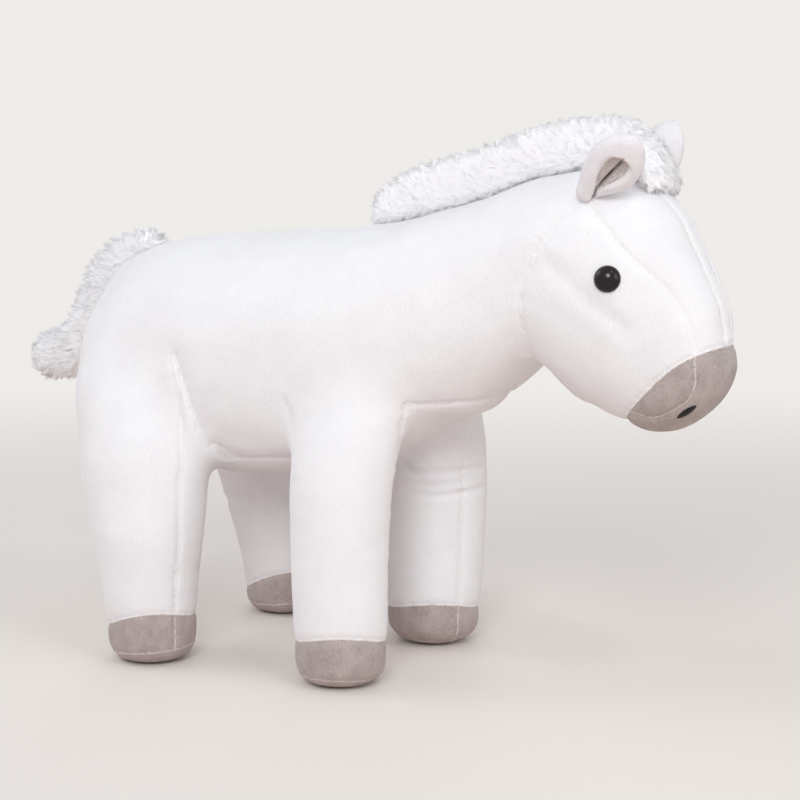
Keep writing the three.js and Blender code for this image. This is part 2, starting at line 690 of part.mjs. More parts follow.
// Ears, each in a group that stands at its root on the head and turns about its own X there
function makeEars() {
  for (const [hand, side] of [["right", RIGHT], ["left", LEFT]]) {
    const rise = THREE.MathUtils.degToRad(EAR.rise);
    const from = new THREE.Vector3(EAR.x, 0, EAR.z);
    const seat = surfaceAt(trunkOutside, from, new THREE.Vector3(0, side * Math.cos(rise), Math.sin(rise)));
    const pose = EAR_POSE[hand];
    const forward = THREE.MathUtils.degToRad(pose.forward);
    const outwards = THREE.MathUtils.degToRad(pose.outward);
    const turn = THREE.MathUtils.degToRad(pose.turn);
    const up = new THREE.Vector3(Math.sin(forward), side * Math.sin(outwards), Math.cos(forward)).normalize();
    const mouth = new THREE.Vector3(Math.cos(turn), side * Math.sin(turn), 0);
    mouth.addScaledVector(up, -mouth.dot(up)).normalize();
    const back = mouth.clone().negate();
    const across = new THREE.Vector3().crossVectors(back, up);
    const twist = Math.atan(across.dot(seat.normal) / back.dot(seat.normal));
    const group = new THREE.Group();
    group.quaternion.setFromRotationMatrix(new THREE.Matrix4().makeBasis(
      across.clone().applyAxisAngle(up, -twist), back.clone().applyAxisAngle(up, -twist), up));
    group.position.copy(seat.point).addScaledVector(seat.normal, EAR.wall / 2 + GAP);
    horse.add(group);
    const middleSurface = (u, v) => earPoint(u, v, twist);
    const liningSeat = -EAR.wall / 2 - EAR.seat;
    const shell = sheet(middleSurface, {
      ...EAR_GRID,
      width: 1,
      start: 0,
      end: 1,
      near: -EAR.wall / 2,
      far: EAR.wall / 2,
    });
    const lining = sheet(middleSurface, {
      ...LINING_GRID,
      width: 1 - (2 * EAR.rim) / EAR.width,
      start: EAR.liningStart / EAR.length,
      end: 1 - EAR.rim / EAR.length,
      near: liningSeat - EAR.lining,
      far: liningSeat,
    });
    addPiece(`ear_shell_${hand}`, shell, plush, group);
    addPiece(`ear_lining_${hand}`, lining, grey, group);
  }
}

makeBody();
legs.forEach(makeLeg);
makeHead();
makeEyes();
makeNostrils();
makeMane();
makeTail();
makeEars();

// The finished horse stands with the middle of its outline's box over the origin
const part = new THREE.Group();
const bounds = new THREE.Box3().setFromObject(horse);
const centre = bounds.getCenter(new THREE.Vector3());
horse.position.set(-centre.x, -centre.y, -bounds.min.z);
part.add(horse);
part.updateMatrixWorld(true);

export default part;
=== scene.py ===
import json
import math

import bmesh
import bpy
import numpy as np
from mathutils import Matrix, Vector, kdtree, noise


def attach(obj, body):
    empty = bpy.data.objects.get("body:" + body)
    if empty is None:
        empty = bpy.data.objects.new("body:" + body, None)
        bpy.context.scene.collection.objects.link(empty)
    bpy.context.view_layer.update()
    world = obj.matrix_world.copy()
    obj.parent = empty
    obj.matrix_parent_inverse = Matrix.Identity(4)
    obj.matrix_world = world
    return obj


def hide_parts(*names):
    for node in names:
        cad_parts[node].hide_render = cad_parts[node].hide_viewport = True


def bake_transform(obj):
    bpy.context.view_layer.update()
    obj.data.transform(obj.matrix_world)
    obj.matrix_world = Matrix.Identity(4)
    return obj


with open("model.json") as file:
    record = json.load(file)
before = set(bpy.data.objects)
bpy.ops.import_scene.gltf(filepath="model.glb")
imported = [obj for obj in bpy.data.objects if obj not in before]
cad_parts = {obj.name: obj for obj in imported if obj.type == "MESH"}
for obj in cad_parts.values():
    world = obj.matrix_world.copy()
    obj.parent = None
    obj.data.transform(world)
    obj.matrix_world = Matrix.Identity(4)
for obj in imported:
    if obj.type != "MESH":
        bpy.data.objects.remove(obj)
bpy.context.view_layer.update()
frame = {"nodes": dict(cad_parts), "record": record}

# The fibre: loose white polyester wadding pushed in through an open seam until the torso, the head
# and each leg stand firm. It is one lumpy cloud in each, and the cover holds it in.
FIBRE_VOXEL = 0.005
FIBRE_SLACK = 0.0012
FIBRE_LUMP = 0.0008
FIBRE_LUMP_SIZE = 0.018
FIBRE_COLOUR = (0.88, 0.88, 0.88, 1)
MM = 0.001
SOLE_TOP = 9.0
LEG_FEET = {"front": (38.1, 62.0), "hind": (-99.4, 77.0)}
LEG_SEAM_TOPS = {"front": (38.1, 59.5, 140.0), "hind": (-110.9, 68.0, 138.0)}
# How far the front legs stand out sideways from the frame's, in millimetres
FRONT_LEGS_APART = 4.5
# Front legs are ahead of this x and hind legs behind it
MIDDLE_X = -30
# How far from a leg's axis the moves of the front legs start and end to fade
LEG_MOVES_REACH = (46, 72)
# Between which heights they fade, and between which distances from the middle plane
LEG_MOVES_HEIGHTS = (110, 180)
LEG_MOVES_SIDE = (0, 24)
# How far the right (-1) and the left front leg (1) stand aside from there as (x, y), at the top and
# at the foot
FRONT_LEGS_LEAN = {-1: ((-1.2, -0.7), (-1.2, -0.7)), 1: ((0.5, -1.5), (-0.8, -6.5))}


def new_object(name, data):
    """A new object in the scene, with a mesh, a lamp or a camera."""
    made = bpy.data.objects.new(name, data)
    bpy.context.scene.collection.objects.link(made)
    return made


def new_piece(name, bm):
    """A new object that holds a bmesh, which is freed."""
    mesh = bpy.data.meshes.new(name)
    bm.to_mesh(mesh)
    bm.free()
    mesh.shade_smooth()
    return new_object(name, mesh)


def remeshed(name, nodes, voxel):
    """A new even mesh of the outside of some of the frame's solids together."""
    bm = bmesh.new()
    for node in nodes:
        bm.from_mesh(frame["nodes"][node].data)
    bmesh.ops.remove_doubles(bm, verts=bm.verts, dist=1e-6)
    piece = new_piece(name, bm)
    remesh = piece.modifiers.new("remesh", "REMESH")
    remesh.mode = "VOXEL"
    remesh.voxel_size = voxel
    even = piece.evaluated_get(bpy.context.evaluated_depsgraph_get()).data.copy()
    piece.modifiers.clear()
    piece.data = even
    return piece


def spots(mesh):
    """The places of a mesh's vertices, as rows."""
    co = np.empty(len(mesh.vertices) * 3)
    mesh.vertices.foreach_get("co", co)
    return co.reshape(-1, 3)


def directions(mesh):
    """The normals of a mesh's vertices, as rows."""
    normals = np.empty(len(mesh.vertices) * 3)
    mesh.vertex_normals.foreach_get("vector", normals)
    return normals.reshape(-1, 3)


def put(mesh, co):
    """Moves a mesh's vertices to some places."""
    mesh.vertices.foreach_set("co", co.ravel())
    mesh.update()


def lumps(co, size, seed=0):
    """Smooth noise from -1 to 1 at some places, with lumps of a size in metres."""
    shift = Vector((seed, 2 * seed, 3 * seed))
    return np.array([noise.noise(Vector(place) / size + shift) for place in co])


def smooth_step(value, low, high):
    """0 below a low value, 1 above a high one, and a smooth rise between them."""
    t = np.clip((value - low) / (high - low), 0, 1)
    return t * t * (3 - 2 * t)


def leg_share(co, reach, low, high):
    """How much a place belongs to each kind of leg, 1 on the leg and 0 away from it."""
    shares = {}
    for leg, (x, y) in LEG_FEET.items():
        top = LEG_SEAM_TOPS[leg]
        t = (co[:, 2] - SOLE_TOP) / (top[2] - SOLE_TOP)
        away = np.hypot(co[:, 0] - x - t * (top[0] - x), np.abs(co[:, 1]) - y - t * (top[1] - y))
        shares[leg] = (1 - smooth_step(away, *reach[leg])) * (1 - smooth_step(co[:, 2], low, high))
    return shares


def front_leg_share(co, low, high):
    """How much places belong to the front legs, fading between two heights."""
    reach = {"front": LEG_MOVES_REACH, "hind": LEG_MOVES_REACH}
    return leg_share(co, reach, low, high)["front"]


def apart(co):
    """How far sideways the front legs' places are moved, in millimetres, at places in millimetres."""
    on_leg = front_leg_share(co, *LEG_MOVES_HEIGHTS)
    return FRONT_LEGS_APART * on_leg * np.sign(co[:, 1]) * smooth_step(np.abs(co[:, 1]), *LEG_MOVES_SIDE)


def leaning(co):
    """How far the front legs' places are moved besides, each leg on its own, in millimetres of x and y."""
    on_leg = front_leg_share(co, *LEG_MOVES_HEIGHTS)
    low = 1 - smooth_step(co[:, 2], 10, 140)
    moved = np.zeros((len(co), 2))
    for side, (top, foot) in FRONT_LEGS_LEAN.items():
        here = on_leg * smooth_step(co[:, 1] * side, *LEG_MOVES_SIDE)
        moved += here[:, None] * (np.array(top) + low[:, None] * (np.array(foot) - top))
    return moved


def link(tree, source, target):
    """Links a node's output to an input."""
    tree.links.new(source, target)


def add_node(tree, kind, settings=(), **values):
    """A shader node with its settings, and with values or links for its inputs by name."""
    made = tree.nodes.new("ShaderNode" + kind)
    for name, value in dict(settings).items():
        setattr(made, name, value)
    for name, value in values.items():
        target = made.inputs[int(name[2:]) if name.startswith("in") else name.replace("_", " ")]
        if isinstance(value, bpy.types.NodeSocket):
            link(tree, value, target)
        else:
            target.default_value = value
    return made


def maths(tree, operation, *values):
    """The result of a calculation with numbers or sockets."""
    inputs = {f"in{index}": value for index, value in enumerate(values)}
    return add_node(tree, "Math", {"operation": operation}, **inputs).outputs[0]


def colour_mix(tree, share, first, second, blend="MIX"):
    """A colour between two colours, by a number or socket."""
    settings = {"data_type": "RGBA", "blend_type": blend}
    return add_node(tree, "Mix", settings, in0=share, in6=first, in7=second).outputs[2]


def new_material(name):
    """A new material, its nodes and its shader."""
    material = bpy.data.materials.new(name)
    material.use_nodes = True
    return material, material.node_tree, material.node_tree.nodes["Principled BSDF"]


def effect(name, inputs, outputs):
    """An empty node group with these named inputs (name, kind, default) and outputs (name, kind)."""
    group = bpy.data.node_groups.new(name, "ShaderNodeTree")
    for label, kind, value in inputs:
        socket = group.interface.new_socket(label, in_out="INPUT", socket_type=kind)
        socket.default_value = value
    for label, kind in outputs:
        group.interface.new_socket(label, in_out="OUTPUT", socket_type=kind)
    return group, group.nodes.new("NodeGroupInput"), group.nodes.new("NodeGroupOutput")


def make_mottle():
    """Node group: a colour that drifts a little between two shades in soft patches."""
    group, given, result = effect("mottle", [
        ("Light", "NodeSocketColor", (1, 1, 1, 1)),
        ("Dark", "NodeSocketColor", (0.8, 0.8, 0.8, 1)),
        ("Patch Size", "NodeSocketFloat", 0.03),
    ], [("Color", "NodeSocketColor"), ("Mask", "NodeSocketFloat")])
    place = add_node(group, "TexCoord")
    often = maths(group, "DIVIDE", 1.0, given.outputs["Patch Size"])
    patches = add_node(group, "TexNoise", Vector=place.outputs["Object"], Scale=often, Detail=3.0,
                       Roughness=0.55)
    shade = add_node(group, "MapRange", Value=patches.outputs["Fac"], From_Min=0.35, From_Max=0.65)
    mixed = colour_mix(group, shade.outputs["Result"], given.outputs["Light"], given.outputs["Dark"])
    link(group, mixed, result.inputs["Color"])
    link(group, shade.outputs["Result"], result.inputs["Mask"])
    return group


def make_pile():
    """Node group: the height of a short pile, as fine tufts drawn out along the way it was brushed."""
    group, given, result = effect("pile", [
        ("Tuft Size", "NodeSocketFloat", 0.0009),
        ("Stretch", "NodeSocketVector", (1, 1, 0.3)),
        ("Ripple Size", "NodeSocketFloat", 0.012),
        ("Ripple", "NodeSocketFloat", 0.35),
    ], [("Height", "NodeSocketFloat")])
    place = add_node(group, "TexCoord")
    brushed = add_node(group, "VectorMath", {"operation": "MULTIPLY"},
                       in0=place.outputs["Object"], in1=given.outputs["Stretch"])
    often = maths(group, "DIVIDE", 1.0, given.outputs["Tuft Size"])
    tufts = add_node(group, "TexNoise", Vector=brushed.outputs[0], Scale=often, Detail=3.0, Roughness=0.6)
    seldom = maths(group, "DIVIDE", 1.0, given.outputs["Ripple Size"])
    ripples = add_node(group, "TexNoise", Vector=brushed.outputs[0], Scale=seldom, Detail=2.0, Roughness=0.5)
    raised = maths(group, "MULTIPLY_ADD", ripples.outputs["Fac"], given.outputs["Ripple"],
                   tufts.outputs["Fac"])
    link(group, raised, result.inputs["Height"])
    return group


MOTTLE = make_mottle()
PILE = make_pile()


def cloth_material(name, light, dark, patch, tuft, ripple, depth, roughness, sheen, stretch=(1, 1, 1),
                   grain=0.05):
    """A pile fabric: mottled, with painted shade in the gaps of a pile brushed one way, and with a soft
    sheen.
    """
    material, tree, shader = new_material(name)
    mottle = add_node(tree, "Group", {"node_tree": MOTTLE}, Light=light, Dark=dark, Patch_Size=patch)
    pile = add_node(tree, "Group", {"node_tree": PILE}, Tuft_Size=tuft, Stretch=stretch,
                    Ripple_Size=ripple)
    bump = add_node(tree, "Bump", Strength=0.6, Distance=depth, Height=pile.outputs["Height"])
    rough = add_node(tree, "MapRange", Value=mottle.outputs["Mask"], To_Min=roughness - 0.05,
                     To_Max=roughness)
    # Painted shade: the colour is made darker where the pile is low, as the shadow in the gaps between its
    # tufts
    gaps = add_node(tree, "MapRange", Value=pile.outputs["Height"], From_Min=0.52, From_Max=0.74,
                    To_Min=1 - grain, To_Max=1.0)
    shaded_in_gaps = colour_mix(tree, 1.0, mottle.outputs["Color"], gaps.outputs["Result"], "MULTIPLY")
    link(tree, shaded_in_gaps, shader.inputs["Base Color"])
    link(tree, rough.outputs["Result"], shader.inputs["Roughness"])
    link(tree, bump.outputs["Normal"], shader.inputs["Normal"])
    shader.inputs["Sheen Weight"].default_value = sheen
    shader.inputs["Sheen Roughness"].default_value = 0.5
    shader.inputs["Specular IOR Level"].default_value = 0.2
    return material


fibre = cloth_material("polyester_fibre", FIBRE_COLOUR, (0.8, 0.8, 0.8, 1), patch=0.02, tuft=0.003,
                       ripple=0.01, depth=0.0008, roughness=0.95, sheen=0.2)
for node in sorted(frame["nodes"]):
    if not node.endswith("filling"):
        continue
    stuffing = remeshed(node.replace("filling", "fibre"), [node], FIBRE_VOXEL)
    places = spots(stuffing.data)
    sunk = FIBRE_SLACK + FIBRE_LUMP * lumps(places, FIBRE_LUMP_SIZE)
    settled = places - sunk[:, None] * directions(stuffing.data)
    settled[:, 1] += apart(places / MM) * MM
    settled[:, :2] += leaning(places / MM) * MM
    put(stuffing.data, settled)
    stuffing.data.materials.append(fibre)
    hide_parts(node)
    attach(stuffing, "toy")


# The cover: nineteen cloths of short-pile plush and velboa, sewn inside out, turned and stuffed. All
# of them are cut from one form, which is drawn round the frame's panels, eased so that the facets go
# and no sharp angle stays between the parts, and pulled in along every seam.
COVER_VOXEL = 0.0035
EASING = {"plush": 24, "leg_joint": 90, "hoof": 5}
STUFFING_BULGE = 0.0008
# How far the seam is turned inwards from straight ahead, before the leg and behind it
LEG_SEAM_TURNS = {"front": (28, -5), "hind": (-21, -10)}
LEG_SEAM_REACH = {"front": (37, 50), "hind": (48, 66)}
HOOF_TOP = 31.0
HOOF_SCALLOP = 3.5
BELLY_HALF_WIDTHS = [(-182, -60), (-167.4, 0), (-148, 25), (-129.4, 40), (-89.4, 50), (-59.4, 52), (0.6, 51),
                     (40.6, 48), (60, 42), (78, 52), (88, 66), (96, 90), (120, 120), (160, 120)]
# The height where the belly cover ends on the chest, at distances from the middle
CHEST_SEAM = [(0, 177.5), (15, 176.5), (36, 173.6), (60, 173.2)]
# The dart between thigh and flank, seen from the side as (x, z): the seam on the leg, and the fold before it
DART_LEG = [(-67, 100), (-67.6, 120), (-70, 146), (-70.8, 173), (-73, 184), (-75.4, 203), (-76, 240)]
DART_FOLD = [(-56, 100), (-58.5, 131), (-61, 146), (-63.5, 159), (-67.5, 175), (-72.3, 191), (-75.2, 203),
             (-77, 240)]
# Where the dart is: least y, least and most x, least and most z, and the height where its fold starts
DART_PLACE = (45, -100, -30, 105, 215, 131)
BELLY_TOP = 196
# How far the fold stands out before its line and sinks behind it, how far each reaches, and half the
# width of the step between them
DART_HEIGHT = 1.3
DART_DEPTH = 2.2
DART_PROUD_REACH = 12
DART_SUNK_REACH = 9
DART_STEP_HALF = 1.3
# Between which heights the fold begins and ends
DART_BEGINS = (118, 136)
DART_ENDS = (190, 208)
# How far the rump stands out, in millimetres, at heights above the table
RUMP_OUT = [(120, 0), (149, 0), (170, 3), (183, 5), (200, 5), (213, 2.8), (226, -1.6), (238, -3.6),
            (246, -4.5), (254, -2), (265, 0)]
NECK_SEAM = [(215, 350), (196, 318), (188.5, 306), (181.9, 292.9), (174, 285.6), (168.3, 275.9),
             (162.2, 268.5), (158.8, 258.9), (153.8, 250.3), (152, 238.8), (150.6, 227.1), (150.2, 214),
             (150, 203), (151, 190), (160, 165), (210, 110), (290, 40)]
FACE_SEAM = [(168, 335), (184.6, 300), (191, 291), (201, 281), (214.6, 265), (230.6, 250), (243.6, 233),
             (249.6, 214), (252, 190)]
GUSSET_HALF_WIDTHS = [(180, 9.5), (225, 9.5), (245, 8.5), (262, 6.5), (270, 5.5)]
MUZZLE_EDGE = [(180, 146), (200, 165), (209.5, 174.1), (216.7, 180.9), (228.6, 192.4), (240.3, 202.6),
               (251.9, 209.3), (263.4, 214.2), (290, 224)]
CHIN_SEAM = [(249, 240), (249.6, 214), (249.8, 193), (245.9, 183), (240.6, 178.6), (231.8, 173.5),
             (224, 171.3), (216.6, 172.6), (208.6, 174.5), (190, 181)]

CLOTH_THICKNESS = 0.002
# How near to a seam the mesh is made finer in metres, and how deep the seam lies, also as a softer dip
# round it, and how high the stitched ridge in it stands, in millimetres
SEAM_FINE = 0.004
SEAM_DEPTH = 1.3
SEAM_DIP = 0.3 * SEAM_DEPTH
SEAM_RIDGE = 0.6
# Half widths of the groove, the dip and the ridge, in millimetres
SEAM_HALF = 2.1
SEAM_DIP_HALF = 8
SEAM_RIDGE_HALF = 0.8
# How far from a seam its puckers are worked out, and a little more for the search, in metres
PUCKER_REACH = 0.028
SEARCH_REACH = 0.03
# How far beside the seam the puckers are highest, and how wide they are spread, in millimetres
PUCKER_OFF = 2.5
PUCKER_SPREAD = 5.5
PUCKER_HEIGHT = 0.4
PUCKER_PITCH = 0.007
STITCH_PITCH = 0.003
# The unevenness of the stuffed cloth: size in metres, height in millimetres and seed
UNEVEN = [(0.035, 0.8, 2), (0.014, 0.25, 3)]
# Creases of the stuffed form, seen from the side as (x, z), with their depth, width, range of y, and
# whether they are on both sides
CREASES = [
    ([(161, 265.5), (176, 254), (192.7, 239.5), (207, 229), (218.4, 220.5)], 1.0, 5, (20, 200), True),
    ([(3, 174), (7.2, 167.8), (10, 160.6), (13, 153)], 1.6, 3, (50, 200), True),
    ([(22, 125.5), (34.9, 121.4), (48.5, 119.8), (73.8, 121.1), (84, 123.5)], 1.3, 2.2, (4, 66), False),
    ([(36, 113.5), (50, 111), (62, 112.2), (70, 113.5)], 0.9, 1.8, (4, 60), False),
    ([(42, 104.8), (56.1, 104.4), (75.4, 107.4), (84.1, 112.1), (92, 117)], 1.3, 2.2, (4, 66), False),
    ([(25.5, 129.4), (33.2, 123.3), (44, 116.5)], 1.8, 2.5, (4, 45), False),
    ([(30, 128), (37.2, 133.6), (52.2, 144), (67.1, 151.5), (74, 154.5)], 2.4, 5, (8, 62), False),
    ([(-143, 80), (-127, 83.7), (-107, 86.8)], 0.8, 3, (4, 66), False),
]
# How much fuller than the frame's the right and the left front leg are stuffed, in millimetres
FRONT_LEGS_FULLER = (-0.3, 2.4)
# Places of the form's outline that are pushed: (x, z) seen from the side, the push and its reach, in
# millimetres
PUSHES = [((146, 188), (3.4, 9), 10), ((171, 177), (-0.5, -4.8), 11), ((190, 170), (-0.5, -2.4), 9),
          ((103, 167), (1.5, -5), 13)]


def neighbours(mesh):
    """The two ends of each edge of a mesh, and how many edges each vertex has."""
    ends = np.empty(len(mesh.edges) * 2, int)
    mesh.edges.foreach_get("vertices", ends)
    ends = ends.reshape(-1, 2)
    return ends, np.bincount(ends.ravel(), minlength=len(mesh.vertices))


def eased(co, ends, count, rounds, share=0.5):
    """Places after some rounds of moving each towards the mean of its neighbours, `share` of the way."""
    for _ in range(rounds):
        total = np.column_stack([
            np.bincount(ends[:, 0], co[ends[:, 1], k], len(co))
            + np.bincount(ends[:, 1], co[ends[:, 0], k], len(co)) for k in range(3)])
        co = co + share * (total / count[:, None] - co)
    return co


def curve_through(points, steps=6):
    """A smooth line through some points, as rows."""
    p = np.array(points, float)
    p = np.vstack([2 * p[0] - p[1], p, 2 * p[-1] - p[-2]])
    line = []
    for a, b, c, d in zip(p, p[1:], p[2:], p[3:]):
        for t in np.arange(steps) / steps:
            line.append(0.5 * (2 * b + (c - a) * t + (2 * a - 5 * b + 4 * c - d) * t * t
                               + (3 * b - a - 3 * c + d) * t ** 3))
    return np.array(line + [p[-2]])


def side_of(points, places):
    """Distance of some places from a line, both in one plane: above 0 on the line's left."""
    line = curve_through(points)
    near, signed = np.full(len(places), np.inf), np.zeros(len(places))
    for a, b in zip(line, line[1:]):
        along = b - a
        off = places - a
        t = np.clip(off @ along / (along @ along), 0, 1)
        gap = np.linalg.norm(off - t[:, None] * along, axis=1)
        beside = (along[0] * off[:, 1] - along[1] * off[:, 0]) / np.linalg.norm(along)
        key = gap - 1e-4 * np.abs(beside)
        closer = key < near
        near[closer] = key[closer]
        signed[closer] = np.where(beside < 0, -gap, gap)[closer]
    return signed


def outside_belly(co):
    """Above 0 on the side covers and below 0 on the belly cover, which line the legs from inside."""
    x, half = np.array(BELLY_HALF_WIDTHS).T
    field = np.maximum(np.abs(co[:, 1]) - np.interp(co[:, 0], x, half), co[:, 2] - BELLY_TOP)
    shares = leg_share(co, LEG_SEAM_REACH, 122, 160)
    for leg, share in shares.items():
        field = share * beside_leg_seam(co, leg)[0] + (1 - share) * field
    beside, height = np.array(CHEST_SEAM).T
    field = np.maximum(field, co[:, 2] - np.interp(np.abs(co[:, 1]), beside, height))
    dart = np.maximum(-before_dart(co, DART_LEG), before_dart(co, DART_FOLD))
    beside_least, rear, ahead, low, high, fold_start = DART_PLACE
    at_dart = (np.abs(co[:, 1]) > beside_least) & (co[:, 0] > rear) & (co[:, 0] < ahead)
    at_dart &= (co[:, 2] > low) & (co[:, 2] < high)
    dart = np.where(co[:, 2] < fold_start, -before_dart(co, DART_LEG), dart)
    return np.where(at_dart, np.minimum(field, dart), field)


def before_dart(co, line):
    """How far places are ahead of one of the dart's lines."""
    x, z = np.array(line).T
    return co[:, 0] - np.interp(co[:, 2], z, x)


def beside_leg_seam(co, leg):
    """Distance outwards from a leg's seam plane, in millimetres, and whether places are ahead of the leg."""
    foot = np.array([*LEG_FEET[leg], SOLE_TOP])
    level = co[:, :2] - leaning(co)
    off = np.column_stack([level[:, 0], np.abs(level[:, 1]), co[:, 2]]) - foot
    planes = []
    for turn in np.radians(LEG_SEAM_TURNS[leg]):
        out = np.cross(np.array(LEG_SEAM_TOPS[leg]) - foot, [math.cos(turn), -math.sin(turn), 0])
        planes.append(off @ out / np.linalg.norm(out))
    up_leg = off[:, 2] / (LEG_SEAM_TOPS[leg][2] - SOLE_TOP)
    ahead = off[:, 0] > up_leg * (LEG_SEAM_TOPS[leg][0] - foot[0])
    return np.where(ahead, planes[0], planes[1]), ahead


def is_hind(co):
    """Whether places are on the hind legs' part of the cover."""
    return co[:, 0] < MIDDLE_X


def round_leg(co):
    """1 on the right front and left rear of a leg, and -1 between them, at places in millimetres."""
    feet = np.where(is_hind(co)[:, None], LEG_FEET["hind"], LEG_FEET["front"])
    off = co[:, :2] - leaning(co) - feet * np.column_stack([np.ones(len(co)), np.sign(co[:, 1])])
    ahead, aside = off @ [0.5, -0.866], off @ [0.866, 0.5]
    return (ahead ** 2 - aside ** 2) / (ahead ** 2 + aside ** 2 + 60)


def above_sole(co):
    """Height above the soles' seams, which lie lower at the toe of a front leg and the heel of a hind leg."""
    left = co[:, 1] > 0
    hind = SOLE_TOP + 0.09 * (co[:, 0] + 92)
    front = np.where(left, 4.7 - 0.13 * (co[:, 0] - 38), 6.5 - 0.04 * (co[:, 0] - 38) + round_leg(co))
    return co[:, 2] - np.where(is_hind(co), hind, front)


def above_hoof(co):
    """Height above the hooves' upper edges, which dip at the leg seams and to the rear on the hind legs."""
    left = co[:, 1] > 0
    hind = np.where(left, 0.2, 0.12) * (co[:, 0] + 75) + np.where(left, 0, 1.75)
    front = np.where(left, -3.2, -0.5)
    return co[:, 2] - HOOF_TOP - HOOF_SCALLOP * round_leg(co) - np.where(is_hind(co), hind, front)


def before_neck(co):
    """Above 0 on the head, ahead of the neck's seam."""
    return side_of(NECK_SEAM, co[:, [0, 2]])


def above_face(co):
    """Above 0 on the face and the gusset, over the cheeks' seam."""
    return side_of(FACE_SEAM, co[:, [0, 2]])


def beside_gusset(co):
    """Above 0 beside the gusset of the forehead."""
    x, half = np.array(GUSSET_HALF_WIDTHS).T
    return np.abs(co[:, 1]) - np.interp(co[:, 0], x, half)


def before_muzzle(co):
    """Above 0 on the grey muzzle."""
    return -side_of(MUZZLE_EDGE, co[:, [0, 2]])


def within_muzzle_side(co):
    """Above 0 on the muzzle's two side pieces."""
    return -side_of(CHIN_SEAM, co[:, [0, 2]])


cover_nodes = [part["node"] for part in frame["record"]["subparts"]
               if part["material_slot"] in ("plush", "grey_plush", "filling") and "ear" not in part["node"]]
form = remeshed("cover_form", cover_nodes, COVER_VOXEL)
bm = bmesh.new()
bm.from_mesh(form.data)


def keep_largest(bm):
    """Deletes all but the largest connected part of a mesh."""
    seen, parts = set(), []
    for start in bm.verts:
        if start.index in seen:
            continue
        part, waiting = [], [start]
        seen.add(start.index)
        while waiting:
            vert = waiting.pop()
            part.append(vert)
            for edge in vert.link_edges:
                other = edge.other_vert(vert)
                if other.index not in seen:
                    seen.add(other.index)
                    waiting.append(other)
        parts.append(part)
    largest = max(parts, key=len)
    bmesh.ops.delete(bm, geom=[v for part in parts if part is not largest for v in part], context="VERTS")


def eased_twice(co, ends, count, rounds):
    """Places eased without shrinking: what the easing took from the broad shape is put back."""
    first = eased(co, ends, count, rounds)
    return first + eased(co - first, ends, count, rounds)


keep_largest(bm)
bm.to_mesh(form.data)
bm.free()
ends, count = neighbours(form.data)
raw = spots(form.data)
whole = eased_twice(raw, ends, count, EASING["plush"])
joints = eased_twice(whole, ends, count, EASING["leg_joint"])
feet = eased_twice(raw, ends, count, EASING["hoof"])
mm = raw / MM
near_legs = leg_share(mm, {"front": (45, 75), "hind": (45, 75)}, 190, 225)
at_joint = (near_legs["front"] + near_legs["hind"]).clip(0, 1) * smooth_step(mm[:, 2], 95, 150)
at_joint *= smooth_step(np.abs(mm[:, 1]), 30, 50)
co = whole + at_joint[:, None] * (joints - whole)
on_foot = 1 - smooth_step(mm[:, 2], 12, 40)
co = co + on_foot[:, None] * (feet - co)
put(form.data, co)
z, out = np.array(RUMP_OUT).T
at_rump = smooth_step(-mm[:, 0], 105, 145) * np.interp(mm[:, 2], z, out) * MM
level = directions(form.data) * [1, 1, 0]
co = co + at_rump[:, None] * level + STUFFING_BULGE * directions(form.data)
for (x, z), (ahead, up), reach in PUSHES:
    near = np.exp(-((mm[:, 0] - x) ** 2 + (mm[:, 2] - z) ** 2) / reach ** 2)
    near *= 1 - smooth_step(np.abs(mm[:, 1]), 25, 60)
    co = co + near[:, None] * np.array([ahead, 0, up]) * MM
on_front_leg = front_leg_share(mm, 90, 165)
fuller = np.where(mm[:, 1] < 0, *FRONT_LEGS_FULLER) * on_front_leg * MM
co = co + (fuller * smooth_step(mm[:, 2], 0, 15))[:, None] * level
co[:, 1] += apart(mm) * MM
co[:, :2] += leaning(mm) * MM
co[:, 2] = co[:, 2].clip(0)
put(form.data, co)
finer = form.modifiers.new("finer", "SUBSURF")
finer.levels = 1
fine_mesh = form.evaluated_get(bpy.context.evaluated_depsgraph_get()).data.copy()
form.modifiers.clear()
form.data = fine_mesh


# How near to a cut, as a share of its edge, a vertex is moved onto it, and how far a cut may run past the
# place where it should end, in millimetres
SNAP = 0.25
PAST_END = 0.05


def cut_along(bm, field, within=None, kept=()):
    """Cuts a mesh where a field is 0, and returns the vertices of the cut.

    `within` is a field too, and the cut stays where it isn't below 0. The vertices in `kept` don't move."""
    verts = list(bm.verts)
    for index, vert in enumerate(verts):
        vert.index = index
    co = np.array([vert.co for vert in verts]) / MM
    value = field(co)
    inside = np.ones(len(co), bool) if within is None else within(co) > -PAST_END
    kept = {vert.index for vert in kept}
    crossing = [edge for edge in bm.edges
                if value[edge.verts[0].index] * value[edge.verts[1].index] < 0
                and inside[edge.verts[0].index] and inside[edge.verts[1].index]]
    on_cut = set()
    for edge in crossing:
        a, b = (vert.index for vert in edge.verts)
        share = value[a] / (value[a] - value[b])
        for here, there, part in ((a, b, share), (b, a, 1 - share)):
            if part < SNAP and here not in on_cut:
                on_cut.add(here)
                if here not in kept:
                    verts[here].co = verts[here].co.lerp(verts[there].co, part)
    for index in on_cut:
        value[index] = 0
    # Kept in order, and not as sets, so that each run numbers the mesh alike
    line = dict.fromkeys(verts[index] for index in sorted(on_cut))
    for edge in crossing:
        a, b = (vert.index for vert in edge.verts)
        if value[a] * value[b] < 0:
            _, new = bmesh.utils.edge_split(edge, edge.verts[0], value[a] / (value[a] - value[b]))
            line[new] = True
    for face in dict.fromkeys(face for vert in line for face in vert.link_faces):
        on_face = [vert for vert in face.verts if vert in line]
        if len(on_face) == 2 and not any(edge.other_vert(on_face[0]) == on_face[1] for edge in face.edges
                                         if on_face[0] in edge.verts):
            bmesh.utils.face_split(face, on_face[0], on_face[1])
    return set(line)


def beside_middle(co):
    """Above 0 on the left half."""
    return co[:, 1]


